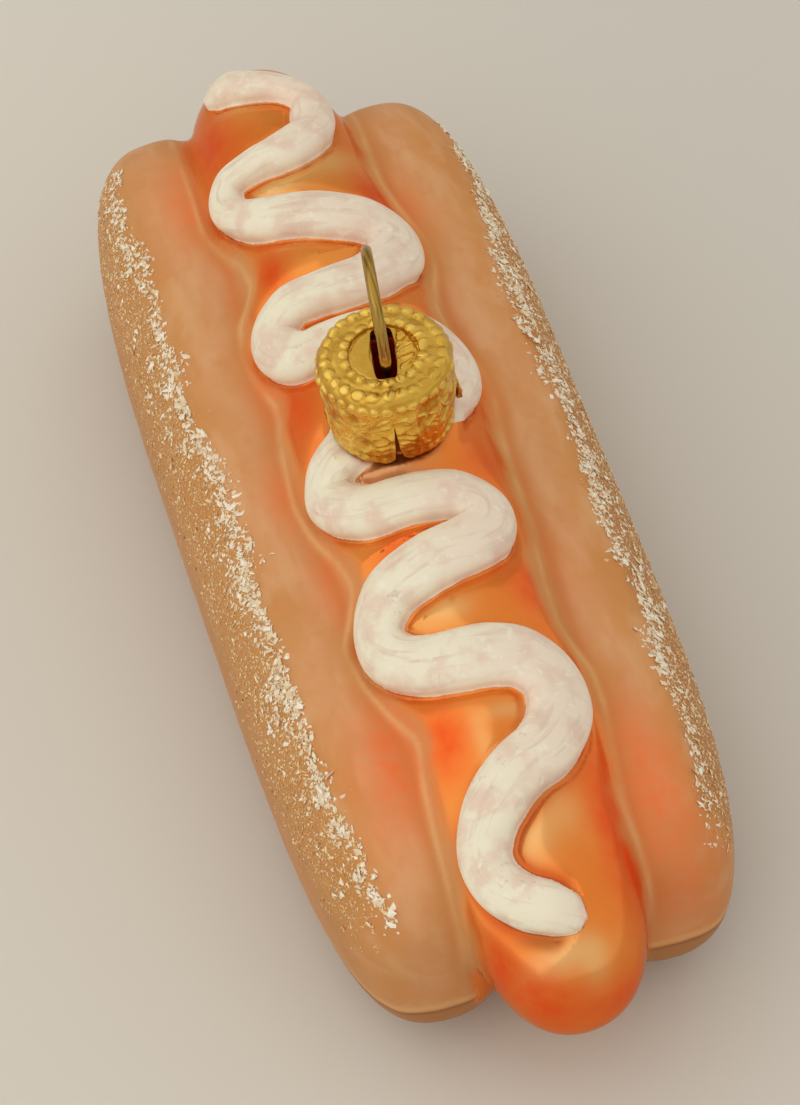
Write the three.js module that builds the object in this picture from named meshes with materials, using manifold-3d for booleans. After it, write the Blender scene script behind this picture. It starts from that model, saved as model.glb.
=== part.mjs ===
// Hot dog shaped glass ornament, lying on the underside of its bun.
// Millimetres, +Z up. The long axis of the bun runs along Y, the metal cap
// stands on the middle of the top, and z = 0 is the surface it lies on.
import * as THREE from 'three';
import { mergeVertices } from 'three/addons/utils/BufferGeometryUtils.js';
import Module from 'manifold-3d';

const wasm = await Module();
wasm.setup();

// ---------------------------------------------------------------- sizes, mm
const BUN = {
  offset: 10.7,       // middle of a lobe from the long axis
  halfWidth: 9.9,
  // each lobe runs from its middle, centreY, to two blunt ends; splay opens both
  // ends outwards, skew moves the far end outwards and the near end inwards
  left: { z: 12.15, halfHeight: 12.4, centreY: 1.9, halfLength: 51.3, splay: 0.15, skew: 0.5 },
  right: { z: 11.75, halfHeight: 12.0, centreY: 0.9, halfLength: 50.4, splay: 0.3, skew: 0.4 },
  endX: 3.6,          // how blunt the ends are in plan
  endZ: 4.6,          // and seen from the side
  section: 2.3,       // 2 is an ellipse, more is squarer
};
const WEB = { centreY: 1.4, halfLength: 47.5, halfWidth: 15.5, z: 9.2, halfHeight: 9.4, end: 4.2, section: 2.4 };
const SAUSAGE = {
  halfLength: 58.2,
  radiusX: 10.5,
  radiusZ: 10.7,
  z: 19.8,
  droop: 4.0,         // its ends lie lower than its middle
  endX: 3.3,
  endZ: 3.7,
};
const CREASE = 1.3;   // rounding of the valleys where the forms meet
// The skin is found by looking outwards from a line inside the body.
const CORE = { z: 14.4, y: 0.8, halfLength: 40, around: 54, capRows: 10, rows: 20, squash: 0.8 };

// The sauce is one bead, laid in a zig-zag from the far end to the near end: x across,
// y along, and half its width there.
const SAUCE = {
  height: 1.8,
  sides: 8,
  steps: 104,
  path: [
    [-4.8, 52.6, 2.35], [-2.9, 51.9, 2.25], [-0.9, 50.6, 2.1], [0.9, 49.5, 1.95], [3, 47.9, 1.8],
    [4.2, 45.9, 1.85], [4, 43.2, 2.2], [3.3, 40.6, 2.1], [1.5, 38.8, 2.35], [-0.8, 37.5, 2.45],
    [-3.5, 37.3, 2], [-6, 37, 1.75], [-7, 34.8, 1.85], [-6.4, 32.2, 1.9], [-4.9, 30, 2.3],
    [-2.6, 28.5, 2.6], [-0.1, 27.5, 2.8], [2.4, 26.5, 3], [4.9, 25.6, 3.05], [6.7, 23.9, 3.05],
    [6.4, 21.3, 3], [4.8, 19.1, 2.7], [2.7, 17.4, 2.65], [0.1, 16.8, 2.6], [-2.5, 16.8, 2.4],
    [-5.2, 17, 2.45], [-7.2, 15.4, 2.75], [-7, 12.7, 2.6], [-5.4, 10.6, 2.55], [-3, 10.3, 2.45],
    [-0.4, 10.3, 2.35], [2.2, 10.3, 2.35], [4.8, 9.8, 2.35], [6.9, 8.6, 2.35], [7.9, 6.6, 2.35],
    [7.6, 4.1, 2.35], [6.5, 2, 2.35], [4.6, 0.6, 2.4], [2.1, -0.5, 2.45], [-0.6, -1.4, 2.5],
    [-3.9, -2.1, 2.6], [-6.5, -3.1, 2.65], [-7.7, -5.4, 2.4], [-6.7, -7.8, 2.48], [-4.8, -9.8, 2.54],
    [-2.2, -10.4, 2.6], [0.4, -10.7, 2.57], [3.1, -11.2, 2.55], [4.9, -12.9, 2.75], [4.4, -15.4, 2.8],
    [2.2, -16.9, 2.85], [-0.4, -17.6, 2.97], [-3, -18.2, 3], [-5.6, -19, 2.93], [-7.3, -21, 2.7],
    [-7.5, -23.6, 2.55], [-6.3, -26, 2.6], [-4.2, -27.7, 2.8], [-1.7, -28.5, 3], [1, -28.9, 3.08],
    [3.5, -29.7, 3.1], [5.2, -31.8, 3.15], [5.3, -34.5, 3.1], [4.2, -37, 2.9], [2.4, -39, 2.85],
    [0, -40.3, 2.82], [-2.2, -41.8, 2.78], [-4.1, -43.7, 2.62], [-5.2, -46.1, 2.42], [-4.9, -48.7, 2.3],
    [-3.5, -51, 2.25], [-1.4, -52.6, 2.3], [0.7, -53.8, 2.45], [1.7, -54.2, 2.5],
  ],
};
// A little fold of glass in front of the collar, given in the same way.
const FOLD = {
  height: 0.4,
  sides: 6,
  steps: 8,
  path: [[-5.5, -5.4, 0.4], [-4.4, -6.1, 0.75], [-3, -6.45, 0.8], [-1.4, -6.65, 0.7], [0.2, -6.6, 0.5], [1.8, -6.2, 0.3]],
};

const CAP = {
  x: 0.1, y: -1.0, z: 30.9,
  lean: 2.0,          // degrees, the neck is not quite upright
  turn: -10,          // degrees about its own axis, from the long axis of the bun
  height: 9.3,
  topRadius: 6.2,
  footRadius: 5.7,
  wall: 0.45,
  recessRadius: 3.75,
  recessDepth: 0.7,
  slotWidth: 2.0,
  slotLength: 6.4,
  slits: 4,
  slitDepth: 5.2,
  slitWidth: 1.1,
  gap: 0.35,          // to the glass all round
};
const NECK = { radius: 4.3, top: 7.2, bore: 3.0, boreDepth: 9.5, collar: 6.2, collarDepth: 2.6 };
const WIRE = {
  radius: 0.5,
  loopRadius: 5.0,
  loopHeight: 5.7,    // middle of the loop above the cap
  legSpread: 1.95,
  legDepth: 6.2,      // how far the legs reach below the top of the cap
  footSpread: 2.15,
  turn: 2,            // degrees about its own axis, from the slot
  sides: 8,
  steps: 48,
};

// ---------------------------------------------------------------- helpers
const taper = (t, p) => Math.pow(Math.max(0, 1 - Math.pow(Math.abs(t), p)), 1 / p);

function oval(x, z, a, b, e) {
  if (a <= 1e-6 || b <= 1e-6) return 9;
  return Math.pow(Math.abs(x / a), e) + Math.pow(Math.abs(z / b), e) - 1;
}
function lobe(side, x, y, z) {
  const s = side < 0 ? BUN.left : BUN.right;
  const t = (y - s.centreY) / s.halfLength;
  if (Math.abs(t) >= 1) return 9;
  return oval(x - side * (BUN.offset + s.splay * t * t + s.skew * t), z - s.z,
    BUN.halfWidth * taper(t, BUN.endX), s.halfHeight * taper(t, BUN.endZ), BUN.section);
}
function web(x, y, z) {
  const t = (y - WEB.centreY) / WEB.halfLength;
  if (Math.abs(t) >= 1) return 9;
  return oval(x, z - WEB.z, WEB.halfWidth * taper(t, WEB.end), WEB.halfHeight * taper(t, WEB.end), WEB.section);
}
function sausage(x, y, z) {
  const t = y / SAUSAGE.halfLength;
  if (Math.abs(t) >= 1) return 9;
  return oval(x, z - (SAUSAGE.z - SAUSAGE.droop * t * t),
    SAUSAGE.radiusX * taper(t, SAUSAGE.endX), SAUSAGE.radiusZ * taper(t, SAUSAGE.endZ), 2);
}
const FORMS = [
  (x, y, z) => lobe(-1, x, y, z),
  (x, y, z) => lobe(1, x, y, z),
  web,
  sausage,
];

// Distance from a point of the core, along a direction, to the last crossing of one form.
function reach(form, o, d) {
  const at = (r) => form(o.x + d.x * r, o.y + d.y * r, o.z + d.z * r);
  let r = 34;
  while (r > 0 && at(r) > 0) r -= 0.4;
  if (r <= 0) return 0;
  let lo = r, hi = r + 0.4;
  for (let i = 0; i < 22; i++) {
    const m = (lo + hi) / 2;
    if (at(m) > 0) hi = m; else lo = m;
  }
  return lo;
}
function softMax(a, b, k) {
  const h = Math.max(k - Math.abs(a - b), 0) / k;
  return Math.max(a, b) + (h * h * k) / 4;
}
function bodyReach(o, d) {
  return FORMS.map((f) => reach(f, o, d)).reduce((a, b) => softMax(a, b, CREASE));
}
// Height of the sausage and bun seen from above, for laying the sauce on them.
function topHeight(x, y) {
  let z = 40;
  while (z > 8 && Math.min(...FORMS.map((f) => f(x, y, z))) > 0) z -= 0.05;
  return z;
}

function solid(geometry) {
  const g = geometry.clone();
  g.deleteAttribute('normal');
  g.deleteAttribute('uv');
  const m = mergeVertices(g, 1e-5);
  const index = m.index.array;
  const triangles = [];
  for (let i = 0; i < index.length; i += 3) {
    const [a, b, c] = [index[i], index[i + 1], index[i + 2]];
    if (a !== b && b !== c && c !== a) triangles.push(a, b, c);
  }
  return new wasm.Manifold(new wasm.Mesh({
    numProp: 3,
    vertProperties: new Float32Array(m.attributes.position.array),
    triVerts: new Uint32Array(triangles),
  }));
}
function toMesh(manifold, name, color, roughness, metalness) {
  const out = manifold.getMesh();
  const n = out.numProp;
  const position = new Float32Array((out.vertProperties.length / n) * 3);
  for (let i = 0; i < position.length / 3; i++) {
    for (let k = 0; k < 3; k++) position[i * 3 + k] = out.vertProperties[i * n + k];
  }
  const g = new THREE.BufferGeometry();
  g.setAttribute('position', new THREE.BufferAttribute(position, 3));
  g.setIndex(new THREE.BufferAttribute(new Uint32Array(out.triVerts), 1));
  g.computeVertexNormals();
  const mesh = new THREE.Mesh(g, new THREE.MeshStandardMaterial({ color, roughness, metalness }));
  mesh.name = name;
  return mesh;
}
function disc(radius, sides) {
  const shape = new THREE.Shape();
  for (let i = 0; i < sides; i++) {
    const a = (2 * Math.PI * i) / sides;
    const p = [radius * Math.cos(a), radius * Math.sin(a)];
    if (i) shape.lineTo(...p); else shape.moveTo(...p);
  }
  shape.closePath();
  return shape;
}
function tube(points, radius, sides, steps) {
  const path = new THREE.CatmullRomCurve3(points, false, 'centripetal');
  return new THREE.ExtrudeGeometry(disc(radius, sides), { steps, extrudePath: path, bevelEnabled: false });
}
// A bead of round section lying on the bun and sausage along a path of [x, y, half width].
function bead({ path, height, sides, steps }) {
  const curve = new THREE.CatmullRomCurve3(path.map((p) => new THREE.Vector3(...p)), false, 'centripetal');
  const length = curve.getLength();
  const at = [];
  for (let i = 0; i <= steps; i++) {
    const p = curve.getPointAt(i / steps);
    const s = (i / steps) * length;
    const start = THREE.MathUtils.smoothstep(s, 0, 2.6);
    const left = Math.min(1, (length - s + 0.15) / 3.6);
    const w = p.z * (0.45 + 0.55 * start) * Math.sqrt(1 - Math.pow(1 - left, 2.4));
    const h = height * (0.55 + 0.45 * start) * (0.45 + 0.55 * THREE.MathUtils.smoothstep(length - s, -0.5, 3.4));
    const r = (w * w + h * h) / (2 * h);
    at.push({ c: new THREE.Vector3(p.x, p.y, topHeight(p.x, p.y) - (r - h)), r });
  }
  const up = new THREE.Vector3(0, 0, 1);
  const position = [];
  const index = [];
  for (let i = 0; i <= steps; i++) {
    const t = at[Math.min(steps, i + 1)].c.clone().sub(at[Math.max(0, i - 1)].c).normalize();
    const b = t.clone().cross(up).normalize();
    const n = b.clone().cross(t);
    for (let k = 0; k < sides; k++) {
      const a = (2 * Math.PI * (k + 0.5)) / sides;
      const q = at[i].c.clone().addScaledVector(b, at[i].r * Math.cos(a)).addScaledVector(n, at[i].r * Math.sin(a));
      position.push(q.x, q.y, q.z);
    }
  }
  for (let i = 0; i < steps; i++) {
    for (let k = 0; k < sides; k++) {
      const [p, q] = [i * sides + k, i * sides + ((k + 1) % sides)];
      index.push(p, p + sides, q, q, p + sides, q + sides);
    }
  }
  for (let k = 1; k < sides - 1; k++) {
    const e = steps * sides;
    index.push(0, k, k + 1, e, e + k + 1, e + k);
  }
  const g = new THREE.BufferGeometry();
  g.setAttribute('position', new THREE.Float32BufferAttribute(position, 3));
  g.setIndex(index);
  return g;
}
function lathe(profile, segments) {
  // the profile is (radius, height); the lathe turns about Y, so Y becomes Z
  return new THREE.LatheGeometry(profile.map(([r, z]) => new THREE.Vector2(r, z)), segments).rotateX(Math.PI / 2);
}

// ---------------------------------------------------------------- glass body
function bunAndSausage() {
  const g = new THREE.CapsuleGeometry(1, 2, CORE.capRows, CORE.around, CORE.rows);
  const p = g.attributes.position;
  const o = new THREE.Vector3();
  const d = new THREE.Vector3();
  for (let i = 0; i < p.count; i++) {
    const y = p.getY(i);
    const along = Math.max(-1, Math.min(1, y));
    o.set(0, CORE.y + along * CORE.halfLength, CORE.z);
    d.set(p.getX(i), y - along, p.getZ(i) * CORE.squash).normalize();
    const r = bodyReach(o, d);
    p.setXYZ(i, o.x + d.x * r, o.y + d.y * r, o.z + d.z * r);
  }
  return g;
}

const capFrame = new THREE.Matrix4()
  .makeTranslation(CAP.x, CAP.y, CAP.z)
  .multiply(new THREE.Matrix4().makeRotationY(THREE.MathUtils.degToRad(-CAP.lean)))
  .multiply(new THREE.Matrix4().makeRotationZ(THREE.MathUtils.degToRad(CAP.turn)));

let body = solid(bunAndSausage());
const below = new THREE.BoxGeometry(200, 200, 50).translate(0, 0, -25);
body = body.subtract(solid(below));

// the sauce runs on under the foot of the cap and stops at the collar
const room = lathe([[0, -9], [NECK.collar - 1, -9], [NECK.collar - 1, -CAP.gap], [CAP.topRadius + CAP.gap + 0.1, -CAP.gap],
  [CAP.topRadius + CAP.gap + 0.1, 20], [0, 20]], 48).applyMatrix4(capFrame);
body = body.add(solid(bead(SAUCE)).subtract(solid(room))).add(solid(bead(FOLD)));
// the neck stands on a low rounded collar
const swell = [[0, -9], [NECK.collar, -9], [NECK.collar, -NECK.collarDepth]];
for (let i = 1; i <= 4; i++) {
  const a = (Math.PI / 2) * (i / 4);
  swell.push([NECK.collar - 2 * (1 - Math.cos(a)), -NECK.collarDepth + (NECK.collarDepth - CAP.gap) * Math.sin(a)]);
}
swell.push([NECK.radius, -CAP.gap], [NECK.radius, NECK.top], [0, NECK.top]);
const neck = lathe(swell, 36).applyMatrix4(capFrame);
const bore = lathe([[0, NECK.top - NECK.boreDepth], [NECK.bore, NECK.top - NECK.boreDepth],
  [NECK.bore, NECK.top + 2], [0, NECK.top + 2]], 32).applyMatrix4(capFrame);
body = body.add(solid(neck)).subtract(solid(bore));

// ---------------------------------------------------------------- cap
function crownCap() {
  const { height: h, topRadius: R, footRadius: F, wall: w, recessRadius: q, recessDepth: e } = CAP;
  const profile = [
    [0, h - e], [q - 0.25, h - e], [q, h - e + 0.25], [q + 0.1, h - 0.1], [q + 0.35, h],
    [R - 0.6, h], [R - 0.15, h - 0.2], [R, h - 0.65], [R - 0.02, h - 1.3],
    [R - 0.2, h - 2.4], [F + 0.1, 1.2], [F, 0],
    [F - w, 0], [F - w + 0.1, 1.2], [R - 0.2 - w, h - 2.4], [R - 0.1 - w, h - 1.3],
    [R - 0.3 - w, h - 0.2 - w - 0.3], [q + 0.4, h - w], [q + 0.3 + 0.0, h - e - w + 0.05], [q, h - e - w], [0, h - e - w],
  ];
  return lathe(profile.reverse(), 36);
}
let cap = solid(crownCap());
cap = cap.subtract(solid(new THREE.BoxGeometry(CAP.slotWidth, CAP.slotLength, 6).translate(0, 0, CAP.height)));
for (let i = 0; i < CAP.slits; i++) {
  const v = new THREE.Shape();
  v.moveTo(-0.08, CAP.slitDepth);
  v.lineTo(-CAP.slitWidth / 2, -1);
  v.lineTo(CAP.slitWidth / 2, -1);
  v.lineTo(0.08, CAP.slitDepth);
  v.closePath();
  const cut = new THREE.ExtrudeGeometry(v, { depth: 8, bevelEnabled: false })
    .rotateX(Math.PI / 2).rotateZ((Math.PI / 2) * i);
  cap = cap.subtract(solid(cut));
}

// ---------------------------------------------------------------- wire loop
function hanger() {
  const { loopRadius: R, loopHeight: H, legSpread: s, legDepth: D, footSpread: f } = WIRE;
  const top = CAP.height;
  const side = [
    [f + 0.05, top - D], [f - 0.05, top - D * 0.62], [s, top - 1.2], [s - 0.1, top + 0.4],
    [s + 0.25, top + 1.6],
  ];
  const pts = side.map(([y, z]) => new THREE.Vector3(0, -y, z));
  for (let i = 0; i <= 12; i++) {
    const a = THREE.MathUtils.degToRad(-42 + (264 * i) / 12);
    pts.push(new THREE.Vector3(0, -R * Math.cos(a), top + H + R * Math.sin(a)));
  }
  for (const [y, z] of side.slice().reverse()) pts.push(new THREE.Vector3(0, y, z));
  return tube(pts, WIRE.radius, WIRE.sides, WIRE.steps);
}

const ornament = new THREE.Group();
ornament.add(toMesh(body, 'glass_body', 0xd9914f, 0.3, 0.35));

const crown = new THREE.Group();
crown.applyMatrix4(capFrame);
crown.add(toMesh(cap, 'crown_cap', 0xc99d3d, 0.35, 1.0));
crown.add(toMesh(solid(hanger().rotateZ(THREE.MathUtils.degToRad(WIRE.turn))), 'hanger_wire', 0xaf8a39, 0.35, 1.0));
ornament.add(crown);

export default ornament;
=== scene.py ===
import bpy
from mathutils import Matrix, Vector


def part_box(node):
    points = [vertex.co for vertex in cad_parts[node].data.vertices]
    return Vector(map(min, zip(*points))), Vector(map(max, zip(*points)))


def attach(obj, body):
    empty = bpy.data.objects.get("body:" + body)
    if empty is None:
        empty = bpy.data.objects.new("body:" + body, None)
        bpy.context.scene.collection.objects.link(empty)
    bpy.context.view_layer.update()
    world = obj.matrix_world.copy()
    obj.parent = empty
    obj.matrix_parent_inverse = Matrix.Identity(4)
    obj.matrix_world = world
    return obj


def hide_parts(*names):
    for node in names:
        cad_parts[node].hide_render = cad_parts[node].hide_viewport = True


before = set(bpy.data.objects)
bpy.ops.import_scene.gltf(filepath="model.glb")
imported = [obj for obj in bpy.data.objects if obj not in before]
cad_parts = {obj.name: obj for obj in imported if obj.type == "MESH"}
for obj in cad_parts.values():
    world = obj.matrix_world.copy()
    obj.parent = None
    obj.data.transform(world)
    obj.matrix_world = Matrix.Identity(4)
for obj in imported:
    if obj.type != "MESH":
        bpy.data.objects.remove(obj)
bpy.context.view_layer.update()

import math

import bpy
import numpy as np
from mathutils import Matrix, Vector
import math

import numpy as np

# ---------------------------------------------------------------- sizes, mm
# Every length below is in millimetres and is turned into metres when a mesh is made.
MM = 0.001
BUN = dict(offset=10.7, half_width=9.9, end_x=3.6, end_z=4.6, section=2.3)
LOBES = {
    -1: dict(z=12.15, half_height=12.4, centre=1.9, half_length=51.3, splay=0.15, skew=0.5),
    1: dict(z=11.75, half_height=12.0, centre=0.9, half_length=50.4, splay=0.3, skew=0.4),
}
WEB = dict(centre=1.4, half_length=47.5, half_width=15.5, z=9.2, half_height=9.4, end=4.2, section=2.4)
SAUSAGE = dict(half_length=58.2, radius_x=10.5, radius_z=10.7, z=19.8, droop=4.0, end_x=3.3, end_z=3.7)
CREASE = 1.3
SAUCE = [  # x, y and half the width
    (-4.8, 52.7, 2.4), (-2.9, 52.1, 2.35), (-0.9, 50.6, 2.10), (0.9, 49.5, 1.95), (3.0, 47.9, 1.80),
    (4.2, 45.9, 1.85), (4.0, 43.2, 2.20), (3.3, 40.6, 2.10), (1.5, 38.8, 2.35), (-0.8, 37.5, 2.45),
    (-3.5, 37.3, 2.00), (-6.0, 37.0, 1.75), (-7.0, 34.8, 1.85), (-6.4, 32.2, 1.90), (-4.9, 30.0, 2.30),
    (-2.6, 28.5, 2.60), (-0.1, 27.5, 2.80), (2.4, 26.5, 3.00), (4.9, 25.6, 3.05), (6.7, 23.9, 3.05),
    (6.4, 21.3, 3.00), (4.8, 19.1, 2.70), (2.7, 17.4, 2.65), (0.1, 16.8, 2.60), (-2.5, 16.8, 2.40),
    (-5.2, 17.0, 2.45), (-7.2, 15.4, 2.75), (-7.0, 12.7, 2.60), (-5.4, 10.6, 2.55), (-3.0, 10.3, 2.45),
    (-0.4, 10.3, 2.35), (2.2, 10.3, 2.35), (4.8, 9.8, 2.35), (6.9, 8.6, 2.35), (7.9, 6.6, 2.35),
    (7.6, 4.1, 2.35), (6.5, 2.0, 2.35), (4.6, 0.6, 2.40), (2.1, -0.5, 2.45), (-0.6, -1.4, 2.50),
    (-3.9, -2.1, 2.60), (-6.5, -3.1, 2.65), (-7.7, -5.4, 2.40), (-6.7, -7.8, 2.48), (-4.8, -9.8, 2.54),
    (-2.2, -10.4, 2.60), (0.4, -10.7, 2.57), (3.1, -11.2, 2.55), (4.9, -12.9, 2.75), (4.4, -15.4, 2.80),
    (2.2, -16.9, 2.85), (-0.4, -17.6, 2.97), (-3.0, -18.2, 3.00), (-5.6, -19.0, 2.93), (-7.3, -21.0, 2.70),
    (-7.5, -23.6, 2.55), (-6.3, -26.0, 2.60), (-4.2, -27.7, 2.80), (-1.7, -28.5, 3.00), (1.0, -28.9, 3.08),
    (3.5, -29.7, 3.10), (5.2, -31.8, 3.15), (5.3, -34.5, 3.10), (4.2, -37.0, 2.90), (2.4, -39.0, 2.85),
    (0.0, -40.3, 2.82), (-2.2, -41.8, 2.78), (-4.1, -43.7, 2.62), (-5.2, -46.1, 2.42), (-4.9, -48.7, 2.30),
    (-3.5, -51.0, 2.25), (-1.4, -52.6, 2.30), (0.7, -53.8, 2.45), (1.3, -54.0, 2.45),
]
SAUCE_STEP = 0.25
SAUCE_HEIGHT = 1.78
CAP = dict(x=0.1, y=-1.0, z=30.9, lean=2.0, turn=-10.0, height=9.3, top=6.2, foot=5.7, wall=0.45,
           recess=3.75, recess_depth=0.7, slot_width=2.0, slot_length=6.4, gap=0.35)
NECK = dict(radius=4.3, top=7.2, bore=3.0, bore_depth=9.5, collar=6.2)
# a little fold of glass in front of the collar
FOLD = [(-5.5, -5.4), (-4.4, -6.1), (-3.0, -6.45), (-1.4, -6.65), (0.2, -6.6), (1.8, -6.2)]
WIRE = dict(radius=0.5, loop=5.0, loop_height=5.7, spread=1.95, depth=6.2, foot=2.15, turn=2.0)


# ---------------------------------------------------------------- small tools
TABLE = np.random.default_rng(11).random(64 * 64 * 64).astype(np.float32)


def noise(p, size, seed=0):
    """Smooth noise from -1 to 1 whose lumps are about size across."""
    q = np.asarray(p, np.float32) / np.float32(size) + np.float32(seed * 7.31 + 900)
    c = np.floor(q).astype(np.int32)
    f = q - c
    f = f * f * (3 - 2 * f)
    c &= 63
    d = (c + 1) & 63
    x0, x1, y0, y1 = c[..., 0] << 12, d[..., 0] << 12, c[..., 1] << 6, d[..., 1] << 6
    z0, z1 = c[..., 2], d[..., 2]
    fx, fy, fz = f[..., 0], f[..., 1], f[..., 2]
    def row(xy):
        a = TABLE[xy + z0]
        return a + (TABLE[xy + z1] - a) * fz
    a, b = row(x0 + y0), row(x0 + y1)
    a = a + (b - a) * fy
    c2, b = row(x1 + y0), row(x1 + y1)
    c2 = c2 + (b - c2) * fy
    return (a + (c2 - a) * fx) * 2 - 1


def smooth_min(a, b, k):
    h = np.maximum(k - np.abs(a - b), 0) / k
    return np.minimum(a, b) - h * h * k * 0.25


def smooth_max(a, b, k):
    return -smooth_min(-a, -b, k)


def ramp(v, lo, hi):
    t = np.clip((v - lo) / (hi - lo), 0, 1)
    return t * t * (3 - 2 * t)


def bump(v, centre, width):
    return np.exp(-((v - centre) / width) ** 2)


# ---------------------------------------------------------------- bun and sausage
def long_form(x, z, t, length, a, b, e, px, pz):
    """Distance to a long rounded form: x and z run across it, t from -1 to 1 along it,
    px and pz say how blunt its ends are in plan and from the side."""
    ax, az, at = np.abs(x) / a + 1e-9, np.abs(z) / b + 1e-9, np.abs(t) + 1e-9
    sx, sz = ax**e, az**e
    s = sx + sz
    p = (px * sx + pz * sz) / s
    rho = s ** (1 / e)
    n = (rho**p + at**p) ** (1 / p)
    gx = ax ** (e - 1) / a * rho ** (1 - e)
    gz = az ** (e - 1) / b * rho ** (1 - e)
    nr, nt = (rho / n) ** (p - 1), (at / n) ** (p - 1) / length
    g = np.sqrt(nr * nr * (gx * gx + gz * gz) + nt * nt)
    return np.clip((n - 1) / np.maximum(g, 1e-4), -20, 20)


def lobe(p, side):
    s = LOBES[side]
    t = (p[:, 1] - s["centre"]) / s["half_length"]
    x = p[:, 0] - side * (BUN["offset"] + s["splay"] * t * t + s["skew"] * t)
    return long_form(x, p[:, 2] - s["z"], t, s["half_length"], BUN["half_width"], s["half_height"],
                     BUN["section"], BUN["end_x"], BUN["end_z"])


def bun_field(p):
    t = (p[:, 1] - WEB["centre"]) / WEB["half_length"]
    web = long_form(p[:, 0], p[:, 2] - WEB["z"], t, WEB["half_length"], WEB["half_width"], WEB["half_height"],
                    WEB["section"], WEB["end"], WEB["end"])
    return smooth_min(smooth_min(lobe(p, -1), lobe(p, 1), CREASE), web, CREASE)


def sausage_field(p):
    t = p[:, 1] / SAUSAGE["half_length"]
    return long_form(p[:, 0], p[:, 2] - (SAUSAGE["z"] - SAUSAGE["droop"] * t * t), t, SAUSAGE["half_length"],
                     SAUSAGE["radius_x"], SAUSAGE["radius_z"], 2.0, SAUSAGE["end_x"], SAUSAGE["end_z"])


def plain_field(p):
    return smooth_min(bun_field(p), sausage_field(p), CREASE)


def gradient(field, p, h=0.04):
    g = np.empty_like(p)
    for k in range(3):
        a, b = p.copy(), p.copy()
        a[:, k] += h
        b[:, k] -= h
        g[:, k] = (field(a) - field(b)) / (2 * h)
    return g


def unit(v):
    return v / np.maximum(np.linalg.norm(v, axis=-1, keepdims=True), 1e-12)


def top_height(xy):
    """Height of the bun and sausage above each plan point."""
    zs = np.arange(36.0, 6.0, -0.5)
    p = np.empty((len(xy), len(zs), 3))
    p[:, :, :2] = xy[:, None, :]
    p[:, :, 2] = zs
    f = plain_field(p.reshape(-1, 3)).reshape(len(xy), len(zs))
    first = np.argmax(f < 0, axis=1)
    lo = zs[first]
    hi = lo + 0.5
    for _ in range(16):
        m = (lo + hi) / 2
        inside = plain_field(np.column_stack([xy, m])) < 0
        lo, hi = np.where(inside, m, lo), np.where(inside, hi, m)
    return (lo + hi) / 2


# ---------------------------------------------------------------- cap frame
def turn_y(d):
    c, s = math.cos(math.radians(d)), math.sin(math.radians(d))
    return np.array([[c, 0, s], [0, 1, 0], [-s, 0, c]])


def turn_z(d):
    c, s = math.cos(math.radians(d)), math.sin(math.radians(d))
    return np.array([[c, -s, 0], [s, c, 0], [0, 0, 1]])


CAP_AT = np.array([CAP["x"], CAP["y"], CAP["z"]])
CAP_TURN = turn_y(-CAP["lean"]) @ turn_z(CAP["turn"])


def to_cap(p):
    return (p - CAP_AT) @ CAP_TURN


def from_cap(p):
    return p @ CAP_TURN.T + CAP_AT


# ---------------------------------------------------------------- sauce
def catmull(points, step):
    """A centripetal Catmull-Rom line through the points, at even steps."""
    q = np.array(points, float)
    q = np.vstack([2 * q[0] - q[1], q, 2 * q[-1] - q[-2]])
    out = []
    for i in range(1, len(q) - 2):
        p0, p1, p2, p3 = q[i - 1], q[i], q[i + 1], q[i + 2]
        t0 = 0.0
        t1 = t0 + np.linalg.norm(p1 - p0) ** 0.5
        t2 = t1 + np.linalg.norm(p2 - p1) ** 0.5
        t3 = t2 + np.linalg.norm(p3 - p2) ** 0.5
        t = np.linspace(t1, t2, 40, endpoint=False)[:, None]
        a1 = (t1 - t) / (t1 - t0) * p0 + (t - t0) / (t1 - t0) * p1
        a2 = (t2 - t) / (t2 - t1) * p1 + (t - t1) / (t2 - t1) * p2
        a3 = (t3 - t) / (t3 - t2) * p2 + (t - t2) / (t3 - t2) * p3
        b1 = (t2 - t) / (t2 - t0) * a1 + (t - t0) / (t2 - t0) * a2
        b2 = (t3 - t) / (t3 - t1) * a2 + (t - t1) / (t3 - t1) * a3
        out.append((t2 - t) / (t2 - t1) * b1 + (t - t1) / (t2 - t1) * b2)
    line = np.vstack(out + [q[-2:-1]])
    return even(line, step)


def even(line, step):
    d = np.r_[0, np.cumsum(np.linalg.norm(np.diff(line, axis=0), axis=1))]
    n = max(2, int(round(d[-1] / step)) + 1)
    s = np.linspace(0, d[-1], n)
    return np.column_stack([np.interp(s, d, line[:, k]) for k in range(line.shape[1])])


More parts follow.
